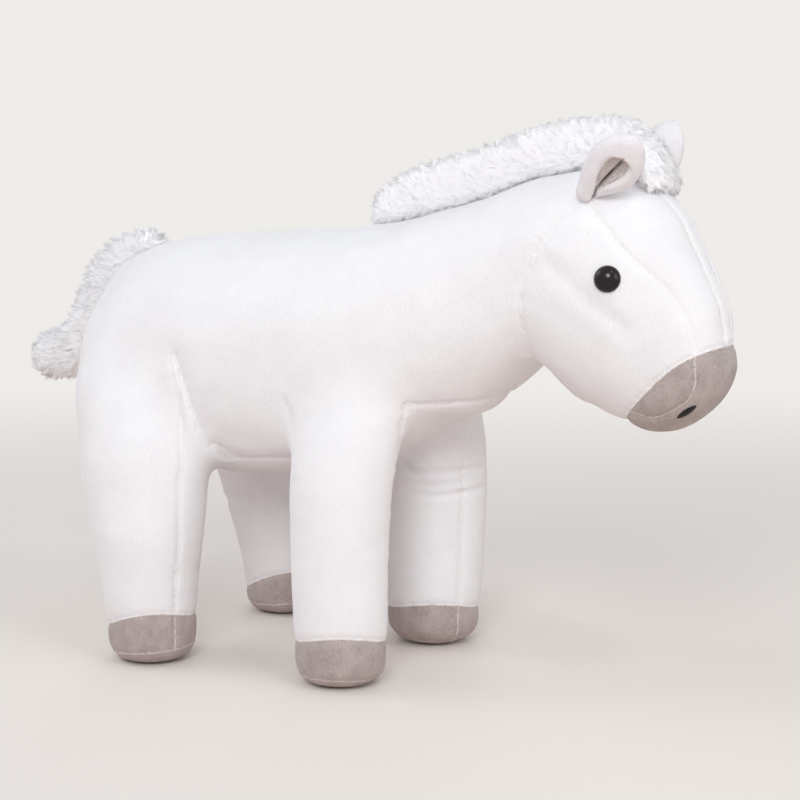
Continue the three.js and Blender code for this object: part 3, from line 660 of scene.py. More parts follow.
bm = bmesh.new()
bm.from_mesh(form.data)
kept = set()
# Each seam, and where it runs. The last two are the seams along the back and under the jaw
for field, within in [
        (above_hoof, None),
        (above_sole, None),
        (outside_belly, lambda co: np.minimum(-before_neck(co), above_hoof(co))),
        (before_neck, None),
        (before_muzzle, before_neck),
        (above_face, lambda co: np.minimum(before_neck(co), -before_muzzle(co))),
        (beside_gusset, lambda co: np.minimum(above_face(co), -before_muzzle(co))),
        (within_muzzle_side, before_muzzle),
        (beside_middle, lambda co: np.minimum(-before_neck(co), outside_belly(co))),
        (beside_middle, lambda co: np.minimum(np.minimum(before_neck(co), -before_muzzle(co)),
                                              -above_face(co)))]:
    kept |= cut_along(bm, field, within, kept)


def panel_names(co):
    """The panel that each place of the cover belongs to."""
    side = np.where(co[:, 1] < 0, "right", "left")
    leg = np.char.add(np.char.add(np.where(is_hind(co), "hind_", "front_"), side), "_")
    muzzle = np.where(within_muzzle_side(co) > 0, np.char.add("muzzle_side_", side), "muzzle_front")
    face = np.where(beside_gusset(co) < 0, "forehead_gusset", np.char.add("face_panel_", side))
    head = np.where(above_face(co) > 0, face, np.char.add("cheek_panel_", side))
    head = np.where(before_muzzle(co) > 0, muzzle, head)
    body = np.where(outside_belly(co) > 0, np.char.add("side_cover_", side), "belly_cover")
    body = np.where(above_hoof(co) < 0, np.char.add(leg, "hoof"), body)
    body = np.where(above_sole(co) < 0, np.char.add(leg, "sole"), body)
    return np.where(before_neck(co) > 0, head, body)


def mark_panels(bm):
    """Writes each face's panel into a layer, and gives the panels' names."""
    bm.faces.ensure_lookup_table()
    middles = np.array([face.calc_center_median() for face in bm.faces]) / MM
    names, numbers = np.unique(panel_names(middles), return_inverse=True)
    layer = bm.faces.layers.int.new("panel")
    for face, number in zip(bm.faces, numbers.tolist()):
        face[layer] = number
    return list(names), layer


def seam_verts(bm, layer):
    """The vertices where panels meet."""
    return [vert for vert in bm.verts if len({face[layer] for face in vert.link_faces}) > 1]


def search_tree(points):
    """A tree that finds the nearest of some points."""
    tree = kdtree.KDTree(len(points))
    for index, point in enumerate(points):
        tree.insert(point, index)
    tree.balance()
    return tree


def nearest(points, places, reach):
    """For each place the distance to the nearest of some points, and that point, within a reach."""
    tree = search_tree(points)
    gap, at = np.full(len(places), reach), np.zeros(len(places), int)
    for row, place in enumerate(places):
        _, index, distance = tree.find(place)
        if distance < reach:
            gap[row], at[row] = distance, index
    return gap, at


def near_hoof_seam(gap, co):
    """Distances from the nearest seam, with the upright seam at the front of each hoof added."""
    mm = co / MM
    for leg in LEG_FEET:
        beside, ahead = beside_leg_seam(mm, leg)
        on = ahead & (is_hind(mm) == (leg == "hind")) & (above_hoof(mm) < 0) & (above_sole(mm) > 0)
        gap = np.where(on, np.minimum(gap, np.abs(beside) * MM), gap)
    return gap


names, layer = mark_panels(bm)
line = [vert.co.copy() for vert in seam_verts(bm, layer)]
bm.verts.index_update()
gap, _ = nearest(line, [vert.co for vert in bm.verts], SEARCH_REACH)
gap = near_hoof_seam(gap, np.array([vert.co for vert in bm.verts]))
close = [edge for edge in bm.edges if max(gap[v.index] for v in edge.verts) < SEAM_FINE]
bmesh.ops.subdivide_edges(bm, edges=close, cuts=1, use_grid_fill=True)
bmesh.ops.triangulate(bm, faces=[face for face in bm.faces if len(face.verts) > 4])
bm.verts.index_update()
line = [vert.co.copy() for vert in seam_verts(bm, layer)]
numbers = np.array([face[layer] for face in bm.faces])
bm.to_mesh(form.data)
bm.free()
co, normals = spots(form.data), directions(form.data)
gap, at = nearest(line, co, SEARCH_REACH)
line_at = np.array(line)[at]
close = np.flatnonzero(gap < PUCKER_REACH)
mm_gap = near_hoof_seam(gap, co) / MM
pucker = np.zeros(len(co))
pucker[close] = lumps(line_at[close], PUCKER_PITCH, seed=4)
pucker[close] += 0.6 * lumps(line_at[close], PUCKER_PITCH / 2.3, seed=9)
stitch = np.zeros(len(co))
stitch[close] = lumps(line_at[close], STITCH_PITCH, seed=7)
sink = SEAM_DEPTH * np.exp(-(mm_gap / SEAM_HALF) ** 2)
sink += SEAM_DIP * np.exp(-(mm_gap / SEAM_DIP_HALF) ** 2)
sink *= 0.4 + 0.6 * smooth_step(co[:, 2] / MM, 10, 22)
rise = SEAM_RIDGE * np.exp(-(mm_gap / SEAM_RIDGE_HALF) ** 2) * (1 + 0.8 * stitch)
folds = PUCKER_HEIGHT * pucker * np.exp(-((mm_gap - PUCKER_OFF) / PUCKER_SPREAD) ** 2)
shift = -sink + rise + folds
for path, depth, width, (least, most), mirrored in CREASES:
    off_middle = np.abs(co[:, 1]) / MM if mirrored else co[:, 1] / MM
    x, z = np.array([path[0], path[-1]]).T
    fading = smooth_step(off_middle, least, least + 6) * (1 - smooth_step(off_middle, most - 6, most))
    fading *= smooth_step(co[:, 0] / MM, x.min() - 3, x.min() + 8)
    fading *= 1 - smooth_step(co[:, 0] / MM, x.max() - 8, x.max() + 3)
    on = np.flatnonzero(fading > 0)
    beside = np.abs(side_of(path, co[on][:, [0, 2]] / MM))
    shift[on] += fading[on] * depth * (0.3 * np.exp(-((beside - 2 * width) / width) ** 2)
                                       - np.exp(-(beside / width) ** 2))
beside = before_dart(co / MM, DART_FOLD)
proud = DART_HEIGHT * np.exp(-(beside.clip(None, 0) / DART_PROUD_REACH) ** 2)
sunk = DART_DEPTH * np.exp(-(beside.clip(0) / DART_SUNK_REACH) ** 2)
step = smooth_step(beside, -DART_STEP_HALF, DART_STEP_HALF)
fading = smooth_step(co[:, 2] / MM, *DART_BEGINS) * (1 - smooth_step(co[:, 2] / MM, *DART_ENDS))
shift += (proud * (1 - step) - sunk * step) * fading * (np.abs(co[:, 1]) > 0.05) * (np.abs(beside) < 40)
uneven = sum(height * lumps(co, size, seed) for size, height, seed in UNEVEN)
shift += uneven * smooth_step(co[:, 2], 0.0, 0.04)
co += normals * (shift * MM)[:, None]
co[:, 2] = co[:, 2].clip(0)
put(form.data, co)


PANELS = {
    "side_cover_right": ["side_panel_right", "front_right_leg_outer", "hind_right_leg_outer"],
    "side_cover_left": ["side_panel_left", "front_left_leg_outer", "hind_left_leg_outer"],
    "belly_cover": ["belly_panel", "front_right_leg_inner", "front_left_leg_inner",
                    "hind_right_leg_inner", "hind_left_leg_inner"],
}
plush = cloth_material("white_plush", (0.93, 0.935, 0.955, 1), (0.9, 0.9, 0.93, 1), patch=0.03, tuft=0.0011,
                       ripple=0.011, depth=0.0008, roughness=0.95, sheen=0.35, stretch=(1, 1, 0.35),
                       grain=0.02)
velboa = cloth_material("grey_velboa", (0.53, 0.46, 0.445, 1), (0.45, 0.385, 0.37, 1), patch=0.012,
                        tuft=0.0008, ripple=0.008, depth=0.0006, roughness=0.9, sheen=0.25,
                        stretch=(1, 1, 0.5), grain=0.22)


def make_stitching():
    """Node group: a mask of the uneven line where a seam's edges and thread show through the pile, which is
    also a painted highlight of the light caught by the seam's ridge.
    """
    group, given, result = effect("stitching", [
        ("Width", "NodeSocketFloat", 1.0),
        ("Raggedness", "NodeSocketFloat", 1.2),
    ], [("Mask", "NodeSocketFloat")])
    gap = add_node(group, "Attribute", {"attribute_name": "from_seam"})
    place = add_node(group, "TexCoord")
    ragged = add_node(group, "TexNoise", Vector=place.outputs["Object"], Scale=900.0, Detail=2.0)
    shaken = maths(group, "MULTIPLY_ADD", ragged.outputs["Fac"], given.outputs["Raggedness"],
                   gap.outputs["Fac"])
    past = maths(group, "SUBTRACT", shaken, given.outputs["Width"])
    mask = add_node(group, "MapRange", Value=past, From_Min=-0.3, From_Max=0.6, To_Min=1.0, To_Max=0.0)
    link(group, mask.outputs["Result"], result.inputs["Mask"])
    return group


STITCHING_AND_HIGHLIGHT = make_stitching()


def show_stitching(material, colour, width, raggedness):
    """Colours a cloth material lighter where its seams show through, as the seam's edges and thread and as a
    painted highlight on its ridge.
    """
    tree = material.node_tree
    shader = tree.nodes["Principled BSDF"]
    stitching = add_node(tree, "Group", {"node_tree": STITCHING_AND_HIGHLIGHT}, Width=width, Raggedness=raggedness)
    cloth = shader.inputs["Base Color"].links[0].from_socket
    mixed = colour_mix(tree, stitching.outputs["Mask"], cloth, colour)
    link(tree, mixed, shader.inputs["Base Color"])


# The lighter seam lines are partly the seams' edges and thread and partly painted highlight, where the light
# catches the seams' ridges
show_stitching(plush, (0.985, 0.98, 0.985, 1), 1.0, 1.2)
show_stitching(velboa, (0.8, 0.75, 0.73, 1), 1.25, 2.2)


def cloth_piece(name, co, rows, thickness):
    """A piece of cloth: faces as rows of places, with a thickness inwards, and which places it uses."""
    used, flat = np.unique(np.concatenate(rows), return_inverse=True)
    flat = iter(flat.tolist())
    mesh = bpy.data.meshes.new(name)
    mesh.from_pydata(co[used].tolist(), [], [[next(flat) for _ in row] for row in rows])
    mesh.shade_smooth()
    piece = new_object(name, mesh)
    wall = piece.modifiers.new("cloth", "SOLIDIFY")
    wall.thickness = thickness
    wall.offset = -1
    return piece, used


def panel(name, number):
    """A panel as its own piece: the cover's faces with its number."""
    mine = np.flatnonzero(numbers == number)
    rows = [loops[start:start + total].tolist() for start, total in zip(starts[mine], totals[mine])]
    piece, used = cloth_piece(name, co, rows, CLOTH_THICKNESS)
    distance = piece.data.attributes.new("from_seam", "FLOAT", "POINT")
    distance.data.foreach_set("value", mm_gap[used])
    return piece


loops = np.empty(len(form.data.loops), int)
form.data.loops.foreach_get("vertex_index", loops)
starts = np.empty(len(form.data.polygons), int)
totals = np.empty(len(form.data.polygons), int)
form.data.polygons.foreach_get("loop_start", starts)
form.data.polygons.foreach_get("loop_total", totals)
for number, name in enumerate(names):
    whole_panel = name in PANELS
    piece = panel(str(name) if whole_panel else f"{name}_cloth", number)
    grey = "hoof" in name or "sole" in name or "muzzle" in name
    piece.data.materials.append(velboa if grey else plush)
    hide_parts(*PANELS.get(str(name), [str(name)]))
    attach(piece, "toy")
bpy.data.objects.remove(form)


# The mane, the forelock and the tail: knitted backing with a soft pile, a strip folded double along
# the crest and a sleeve for the tail. The pile stands in small tufts, which lean the way it was brushed.
FUR_BACKING_VOXEL = 0.003
FUR = {
    "mane": {"nodes": ["mane", "forelock"], "body": "toy", "inset": 1.5, "length": 5.4, "count": 26000,
             "lift": 0.55, "pull": 0.5, "seed": 11},
    "tail": {"nodes": ["tail"], "body": "tail", "inset": 2.5, "length": 8.0, "count": 26000,
             "lift": 0.85, "pull": 0.6, "seed": 13},
}
# Which way the pile is brushed: back and up on the mane, forward and down on the forelock, out along the
# tail, and the other way at the tail's root
BRUSHED = {"mane": (-0.6, 0, 0.35), "forelock": (0.3, -0.1, -0.45), "tail": (-0.6, 0, -0.3),
           "dock": (0.5, 0, 0.3)}
# From which x to which the mane goes over into the forelock, and the tail into its root
PARTING = (184.0, 212.0)
DOCK = (-175.0, -155.0)
# How much the strip's top is worn down, in millimetres, at places along the mane
MANE_WORN = [(28, -6), (40, -5), (62, -2.4), (82, 0.4), (102, 2.8), (122, 1.8), (140, 0.6), (172, -0.6),
             (190, -1.8), (203, -2.4), (215, -3)]
# How much wider the forelock's end is on the right than the frame's
FORELOCK_WIDER = 0.3
FIBRE_RADIUS = 0.18
TUFT_FIBRES = 12
# How far a tuft lies over along its brushing and in a direction of its own, and each fibre in it
TUFT_BRUSHED = 1.0
TUFT_LEAN = 0.42
FIBRE_LEAN = 0.22
# How much a fibre is lit as the surface of the fur and not as a thread, and how much light it lets by
FUR_SURFACE_LIGHT = 0.85
FUR_LETS_BY = 0.98
# A painted glow: light that the fur gives off of its own, in place of the light that comes through the pile
# from behind, which its closed threads would keep back
FUR_GLOW = 0.12


def unit(rows, least=0):
    """Directions, as rows of length 1."""
    return rows / (np.linalg.norm(rows, axis=1)[:, None] + least)


def scattered(mesh, count, random):
    """Places spread evenly over a mesh, with their normals."""
    mesh.calc_loop_triangles()
    corners = np.empty(len(mesh.loop_triangles) * 3, int)
    mesh.loop_triangles.foreach_get("vertices", corners)
    co, normals = spots(mesh), directions(mesh)
    a, b, c = (co[corners.reshape(-1, 3)[:, k]] for k in range(3))
    area = np.linalg.norm(np.cross(b - a, c - a), axis=1)
    face = random.choice(len(area), count, p=area / area.sum())
    s, t = random.random((2, count))
    over = s + t > 1
    s[over], t[over] = 1 - s[over], 1 - t[over]
    s, t = s[:, None], t[:, None]
    picked = corners.reshape(-1, 3)[face]
    n = normals[picked[:, 0]] * (1 - s - t) + normals[picked[:, 1]] * s + normals[picked[:, 2]] * t
    return a[face] * (1 - s - t) + b[face] * s + c[face] * t, unit(n)


def fibres(name, roots, normals, tips, bend, radius):
    """A mesh of tapered fibres, three-sided, each bent once between its root and its tip."""
    count = len(roots)
    middle = roots + bend
    stations = []
    for t in (0.0, 0.55):
        stations.append((1 - t) ** 2 * roots + 2 * t * (1 - t) * middle + t * t * tips)
    along = tips - roots
    across = unit(np.cross(along, normals + 0.01), 1e-12)
    other = unit(np.cross(along, across), 1e-12)
    points = []
    for place, width in zip(stations, (1.0, 0.85)):
        for k in range(3):
            angle = 2 * math.pi * k / 3
            points.append(place + width * radius * (math.cos(angle) * across + math.sin(angle) * other))
    points.append(tips)
    points = np.stack(points, axis=1).reshape(-1, 3)
    base = np.arange(count)[:, None] * 7
    quads, tris = [], []
    for k in range(3):
        n = (k + 1) % 3
        quads.append(base + [k, n, 3 + n, 3 + k])
        tris.append(base + [3 + k, 3 + n, 6])
    tris.append(base + [2, 1, 0])
    quads, tris = np.concatenate(quads), np.concatenate(tris)
    mesh = bpy.data.meshes.new(name)
    mesh.vertices.add(len(points))
    mesh.vertices.foreach_set("co", points.ravel())
    mesh.loops.add(quads.size + tris.size)
    mesh.loops.foreach_set("vertex_index", np.concatenate([quads.ravel(), tris.ravel()]))
    mesh.polygons.add(len(quads) + len(tris))
    starts = np.concatenate([np.arange(len(quads)) * 4, quads.size + np.arange(len(tris)) * 3])
    mesh.polygons.foreach_set("loop_start", starts)
    mesh.update(calc_edges=True)
    mesh.validate()
    mesh.shade_smooth()
    lit = FUR_SURFACE_LIGHT * np.repeat(normals, 7, axis=0) + (1 - FUR_SURFACE_LIGHT) * directions(mesh)
    mesh.normals_split_custom_set_from_vertices(unit(lit).tolist())
    return new_object(name, mesh)


def tufted(backing, fur):
    """Roots, normals, tips and bends of the fibres of a fur, gathered in tufts."""
    random = np.random.default_rng(fur["seed"])
    roots, normals = scattered(backing, fur["count"], random)
    leads = random.choice(len(roots), max(1, fur["count"] // TUFT_FIBRES), replace=False)
    tree = search_tree(roots[leads])
    mine = np.array([tree.find(root)[1] for root in roots])
    rear, front, between = "tail", "dock", DOCK
    if "forelock" in fur["nodes"]:
        rear, front, between = "mane", "forelock", PARTING
    ahead = smooth_step(roots[leads, 0] / MM, *between)[:, None]
    brushed = (1 - ahead) * BRUSHED[rear] + ahead * BRUSHED[front]
    lean = brushed * TUFT_BRUSHED + TUFT_LEAN * random.normal(size=(len(leads), 3))
    long = fur["length"] * MM * (1 + 0.1 * random.normal(size=len(leads)))
    flat = lean - (lean * normals[leads]).sum(1)[:, None] * normals[leads]
    way = fur["lift"] * normals[leads] + flat
    tuft_tip = roots[leads] + unit(way) * long[:, None]
    own = lean[mine] + FIBRE_LEAN * random.normal(size=roots.shape)
    own_way = fur["lift"] * normals + own - (own * normals).sum(1)[:, None] * normals
    own_tip = roots + unit(own_way) * (long[mine] * (1 + 0.12 * random.normal(size=len(roots))))[:, None]
    tips = own_tip + fur["pull"] * (tuft_tip[mine] - own_tip)
    bend = normals * (0.4 * long[mine])[:, None]
    return roots, normals, tips, bend


fur_white = cloth_material("long_white_fur", (0.99, 0.985, 0.995, 1), (0.96, 0.95, 0.975, 1), patch=0.012,
                           tuft=0.0006, ripple=0.006, depth=0.0002, roughness=0.8, sheen=0.25, grain=0.02)
tree = fur_white.node_tree
shader = tree.nodes["Principled BSDF"]
# Painted glow: the fur emits a little light of its own
shader.inputs["Emission Color"].default_value = (0.95, 0.95, 1, 1)
shader.inputs["Emission Strength"].default_value = FUR_GLOW
ray = add_node(tree, "LightPath")
soft_ray = maths(tree, "MAXIMUM", ray.outputs["Is Shadow Ray"], ray.outputs["Is Diffuse Ray"])
link(tree, maths(tree, "MULTIPLY_ADD", soft_ray, -FUR_LETS_BY, 1.0), shader.inputs["Alpha"])
# Painted shade: the backing is a little darker and cooler than the pile, for the shade in the gaps between
# the tufts where it shows
backing_white = cloth_material("fur_backing", (0.97, 0.965, 0.98, 1), (0.9, 0.885, 0.925, 1), patch=0.004,
                               tuft=0.0008, ripple=0.006, depth=0.0003, roughness=0.9, sheen=0.2)
for name, fur in FUR.items():
    backing = remeshed(f"{name}_backing", fur["nodes"], FUR_BACKING_VOXEL)
    ends, count = neighbours(backing.data)
    co = eased(spots(backing.data), ends, count, 6)
    if name == "mane":
        x, worn = np.array(MANE_WORN).T
        raised = smooth_step(co[:, 2] / MM - np.interp(co[:, 0] / MM, [30, 178], [282, 314]), 0, 25)
        co[:, 2] -= np.interp(co[:, 0] / MM, x, worn) * MM * raised
        co[:, 1] *= 1 + FORELOCK_WIDER * smooth_step(co[:, 0] / MM, 195, 218) * (co[:, 1] < 0)
    put(backing.data, co)
    for _ in range(4):
        put(backing.data, spots(backing.data) - directions(backing.data) * fur["inset"] * MM / 4)
        put(backing.data, eased(spots(backing.data), ends, count, 2))
    roots, normals, tips, bend = tufted(backing.data, fur)
    pieces = [(backing, fur["nodes"])]
    for node in fur["nodes"]:
        there = np.ones(len(roots), bool)
        if len(fur["nodes"]) > 1:
            there = (roots[:, 0] / MM > PARTING[0]) == (node == "forelock")
        for hand, half in (("right", there & (roots[:, 1] < 0)), ("left", there & (roots[:, 1] >= 0))):
            pieces.append((fibres(f"{node}_pile_{hand}", roots[half], normals[half], tips[half], bend[half],
                                  FIBRE_RADIUS * MM), [node]))
    for piece, nodes in pieces:
        piece.data.materials.append(backing_white if piece is backing else fur_white)
        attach(piece, fur["body"])
        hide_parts(*nodes)


# The ears: leaves of white plush with a grey lining, turned right side out, lightly filled and folded
# lengthwise, so that two soft lips close round a narrow mouth. Each is sewn on beside the mane.
EARS = {
    "right": {"root": (186.979, -39.557, 298.127), "up": (0.67518, -0.23514, 0.69917),
              "across": (0.64022, -0.28400, -0.71377), "twist": 0.88379, "lean": 0},
    "left": {"root": (186.963, 39.578, 298.048), "up": (0.22441, 0.06959, 0.97201),
             "across": (-0.97414, 0.04284, 0.22183), "twist": -0.1, "lean": 0.12},
}
# The right ear's form, seen from the front: height above its root with the left and right edge
EAR_EDGES = [(-2.4, -0.5, 0.5), (-1.9, -3.6, 2.8), (-0.6, -5.9, 4.6), (1.4, -6.9, 5.8), (4.4, -7.7, 7.2),
             (8, -8.8, 9.4), (12, -10.4, 12.6), (17, -12.2, 16.4), (24, -13.2, 18.2), (31, -12.8, 17.8),
             (38, -10.6, 15.2), (44, -6.4, 11.0), (47.6, -1.8, 6.6), (49, 2.4, 2.6)]
EAR_HALF_DEPTHS = [(-2.4, 0.5), (-1.9, 3.0), (-0.6, 4.6), (1.4, 5.6), (5, 6.4), (12, 7.4), (20, 8.5),
                   (32, 8.0), (40, 6.8), (46, 4.2), (49, 0.3)]
# How far the ear bends forward at its tip, which is this high
EAR_NOD = 3.0
EAR_TALL = 49
# The grey mouth in the same way, and the slit down its middle, which parts the lips as far as the root
MOUTH_EDGES = [(8.5, 1.6, 1.9), (12, -0.2, 3.2), (17.6, -2.2, 6.0), (24, -3.4, 8.6), (29, -3.2, 9.4),
               (33, -1.6, 8.0), (36.5, 2.4, 2.6)]
MOUTH_DEPTH = 5.0
SLIT = [(-3, 5.0), (0, 4.8), (3.6, 3.9), (10.6, 2.3), (31.6, 4.2)]
# How deep and wide the slit is, and how far its lips stand out beside it
SLIT_DEPTH = 6.0
SLIT_HALF = 0.8
LIPS_APART = 2.5
EAR_CLOTH = 1.5


def at_height(table, z):
    """The values of a smooth table at some heights, where the table starts with the height."""
    fine = curve_through(table, 8)
    return [np.interp(z, fine[:, 0], fine[:, column]) for column in range(1, fine.shape[1])]


def mouth_at(x, z):
    """How far the mouth is open at heights above the ear's root, and x across it, -1 and 1 at its edges."""
    left, right = at_height(MOUTH_EDGES, z)
    half = np.maximum((right - left) / 2, 0.1)
    wide_open = smooth_step(z, 8.5, 15) * (1 - smooth_step(z, 34.5, 37.5))
    return wide_open * np.minimum(half / 4, 1), (x - (left + right) / 2) / half, half


def in_mouth(co, seed):
    """Above 0 on the grey lining, at millimetres in the ear's own frame, with the pile over its edge."""
    wide_open, lens, half = mouth_at(co[:, 0], co[:, 2])
    fuzz = 0.5 * lumps(co * MM, 0.0016, seed) + 0.4 * lumps(co * MM, 0.005, seed + 1)
    front = co[:, 1] + EAR_NOD * (co[:, 2].clip(0) / EAR_TALL) ** 2
    return np.where((front < 1.5) & (wide_open > 0), half * (1 - np.abs(lens)) + fuzz, -9.0)


def ear_form():
    """The ear as one closed puffy form, dipped in at its mouth, in its own frame."""
    steps, sides = 90, 140
    t = (1 - np.cos(np.linspace(0, np.pi, steps))) / 2
    angle = np.linspace(0, 2 * np.pi, sides, endpoint=False)
    angle = angle + 0.25 * np.sin(angle)
    low, high = EAR_EDGES[0][0], EAR_EDGES[-1][0]
    z, angle = np.meshgrid(low + (high - low) * t, angle, indexing="ij")
    left, right = at_height(EAR_EDGES, z)
    x = (left + right) / 2 + (right - left) / 2 * np.sin(angle)
    y = at_height(EAR_HALF_DEPTHS, z)[0] * np.cos(angle)
    front = smooth_step(-np.cos(angle), 0, 0.5)
    wide_open, lens, _ = mouth_at(x, z)
    dip = MOUTH_DEPTH * wide_open * np.exp(-(np.abs(lens) / 1.15) ** 4)
    beside_slit = np.abs(x - at_height(SLIT, z)[0])
    slit = smooth_step(z, -3, 1) * (1 - smooth_step(z, 29, 34))
    fold = SLIT_DEPTH * slit * np.exp(-(beside_slit / SLIT_HALF) ** 2)
    lips = LIPS_APART * slit * (1 - smooth_step(z, 8, 18)) * np.exp(-(beside_slit / 3.5) ** 1.5)
    y = y + front * (dip + fold + lips) - EAR_NOD * (z.clip(0) / EAR_TALL) ** 2
    places = np.stack([x, y, z], axis=2)
    bm = bmesh.new()
    rings = [[bm.verts.new(place * MM) for place in ring] for ring in places[1:-1]]
    root, tip = bm.verts.new(places[0, 0] * MM), bm.verts.new(places[-1, 0] * MM)
    for k in range(sides):
        n = (k + 1) % sides
        bm.faces.new([root, rings[0][n], rings[0][k]])
        bm.faces.new([tip, rings[-1][k], rings[-1][n]])
        for below, above in zip(rings, rings[1:]):
            bm.faces.new([below[k], below[n], above[n], above[k]])
    bmesh.ops.recalc_face_normals(bm, faces=bm.faces)
    return bm


# Painted shade: the ears' plush is a darker copy of the white plush, for the shade on the folded ears
shaded_ear_plush = cloth_material("shaded_ear_plush", (0.9, 0.885, 0.915, 1), (0.86, 0.84, 0.875, 1), patch=0.01,
                           tuft=0.0009, ripple=0.008, depth=0.0008, roughness=0.95, sheen=0.35,
                           stretch=(1, 1, 0.5), grain=0.04)
lining_grey = cloth_material("ear_lining", (0.7, 0.64, 0.63, 1), (0.58, 0.53, 0.52, 1), patch=0.003,
                             tuft=0.0008, ripple=0.004, depth=0.0009, roughness=0.9, sheen=0.3, grain=0.25)
for hand, ear in EARS.items():
    up, across = np.array(ear["up"]), np.array(ear["across"])
    back = np.cross(up, across)
    c, d = math.cos(ear["twist"]), math.sin(ear["twist"])
    axes = np.array([c * across + d * back, c * back - d * across, up])
    root = np.array(ear["root"]) * MM
    seed = 20 if hand == "right" else 30
    bm = ear_form()
    cut_along(bm, lambda co: in_mouth(co, seed))
    bmesh.ops.triangulate(bm, faces=[face for face in bm.faces if len(face.verts) > 4])
    bm.faces.ensure_lookup_table()
    middles = np.array([face.calc_center_median() for face in bm.faces])
    grey = in_mouth(middles / MM, seed) > 0
    mesh = bpy.data.meshes.new("ear_form")
    bm.to_mesh(mesh)
    bm.free()
    co, normals = spots(mesh), directions(mesh)
    co += normals * (0.3 * lumps(co, 0.009, seed + 5) * MM)[:, None]
    if hand == "left":
        co[:, 0] *= -1
    raised = co[:, 2].clip(0)[:, None]
    placed = root + co @ axes + raised * [math.sin(ear["lean"]), 0, math.cos(ear["lean"]) - 1]
    faces = [list(polygon.vertices) for polygon in mesh.polygons]
    for kind, mine, slot in (("plush", ~grey, "plush"), ("lining", grey, "ear_lining")):
        rows = [faces[index] for index in np.flatnonzero(mine)]
        if hand == "left":
            rows = [row[::-1] for row in rows]
        piece, _ = cloth_piece(f"ear_{hand}_{kind}", placed, rows, EAR_CLOTH * MM)
        piece.data.materials.append(shaded_ear_plush if kind == "plush" else lining_grey)
        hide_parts(f"ear_shell_{hand}" if kind == "plush" else f"ear_lining_{hand}")
        if kind == "plush":
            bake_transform(piece)
        else:
            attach(piece, f"ear_{hand}")


# The eyes: polished domes of black plastic, each moulded with a post that is pushed through the face
# and held from inside by a white washer. The dome stands on the pile, and the post is a plain pin.
EYE_RADIUS = 7.7
EYE_HEIGHT = 5.4
POST_RADIUS = 2.2
POST_END = -9.5


def main_axes(mesh):
    """The middle of a mesh's vertices and its axes as rows, from the widest to the narrowest."""
    co = spots(mesh)
    middle = co.mean(0)
    _, _, axes = np.linalg.svd(co - middle, full_matrices=False)
    return middle, axes


def turned_piece(name, profile, base, axis, steps=64):
    """A body turned about an axis, from its profile as (radius, height) in millimetres."""
    axis = Vector(axis).normalized()
    side = axis.orthogonal().normalized()
    other = axis.cross(side)
    bm = bmesh.new()
    rings = []
    for radius, height in profile:
        if radius < 1e-6:
            rings.append([bm.verts.new(Vector(base) + axis * height * MM)])
            continue
        ring = [(side * math.cos(a) + other * math.sin(a)) * radius
                for a in np.linspace(0, 2 * math.pi, steps, endpoint=False)]
        rings.append([bm.verts.new(Vector(base) + (axis * height + out) * MM) for out in ring])
    for low, high in zip(rings, rings[1:]):
        for k in range(steps):
            n = k + 1
            face = [low[k % len(low)], low[n % len(low)], high[n % len(high)], high[k % len(high)]]
            bm.faces.new(list(dict.fromkeys(face)))
    bmesh.ops.recalc_face_normals(bm, faces=bm.faces)
    return new_piece(name, bm)


eye_black, tree, shader = new_material("polished_black")
place = add_node(tree, "TexCoord")
wipes = add_node(tree, "TexNoise", Vector=place.outputs["Object"], Scale=700.0, Detail=4.0)
gloss = add_node(tree, "MapRange", Value=wipes.outputs["Fac"], To_Min=0.03, To_Max=0.09)
depth = add_node(tree, "TexNoise", Vector=place.outputs["Object"], Scale=150.0)
dark = colour_mix(tree, depth.outputs["Fac"], (0.009, 0.004, 0.0055, 1), (0.015, 0.007, 0.0095, 1))
link(tree, gloss.outputs["Result"], shader.inputs["Roughness"])
link(tree, dark, shader.inputs["Base Color"])
shader.inputs["Specular IOR Level"].default_value = 0.32
for hand, side in (("right", -1), ("left", 1)):
    washer = frame["nodes"][f"eye_washer_{hand}"]
    middle, axes = main_axes(washer.data)
    axis = axes[2] * np.sign(axes[2][1] * side)
    eye_co = spots(frame["nodes"][f"eye_{hand}"].data)
    top = (eye_co @ axis).max()
    base = middle + axis * (top - middle @ axis - (EYE_HEIGHT - 0.2) * MM)
    arc = np.radians(np.linspace(0, 90, 18))
    dome = [(0, POST_END), (POST_RADIUS, POST_END), (POST_RADIUS, -0.8)]
    dome += [(EYE_RADIUS - 0.7, -0.8), (EYE_RADIUS - 0.2, -0.5)]
    dome += [(EYE_RADIUS * math.cos(a), EYE_HEIGHT * math.sin(a)) for a in arc[:-1]]
    dome += [(0, EYE_HEIGHT)]
    eye = turned_piece(f"eye_{hand}_dome", dome, base, axis)
    eye.data.materials.append(eye_black)
    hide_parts(f"eye_{hand}")
    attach(eye, "toy")


# The nostrils: satin stitch in black thread on the front of the muzzle, worked across a narrow lens,
# so that each thread is a small arch and the middle ones are the longest.
THREAD_RADIUS = 0.28
NOSTRIL_THREADS = 34
NOSTRIL_LONG = 13.0
NOSTRIL_WIDE = 4.2
NOSTRIL_HIGH = 0.8

thread_black = cloth_material("black_thread", (0.012, 0.011, 0.011, 1), (0.03, 0.028, 0.027, 1), patch=0.002,
                              tuft=0.0003, ripple=0.002, depth=0.0001, roughness=0.55, sheen=0.1)


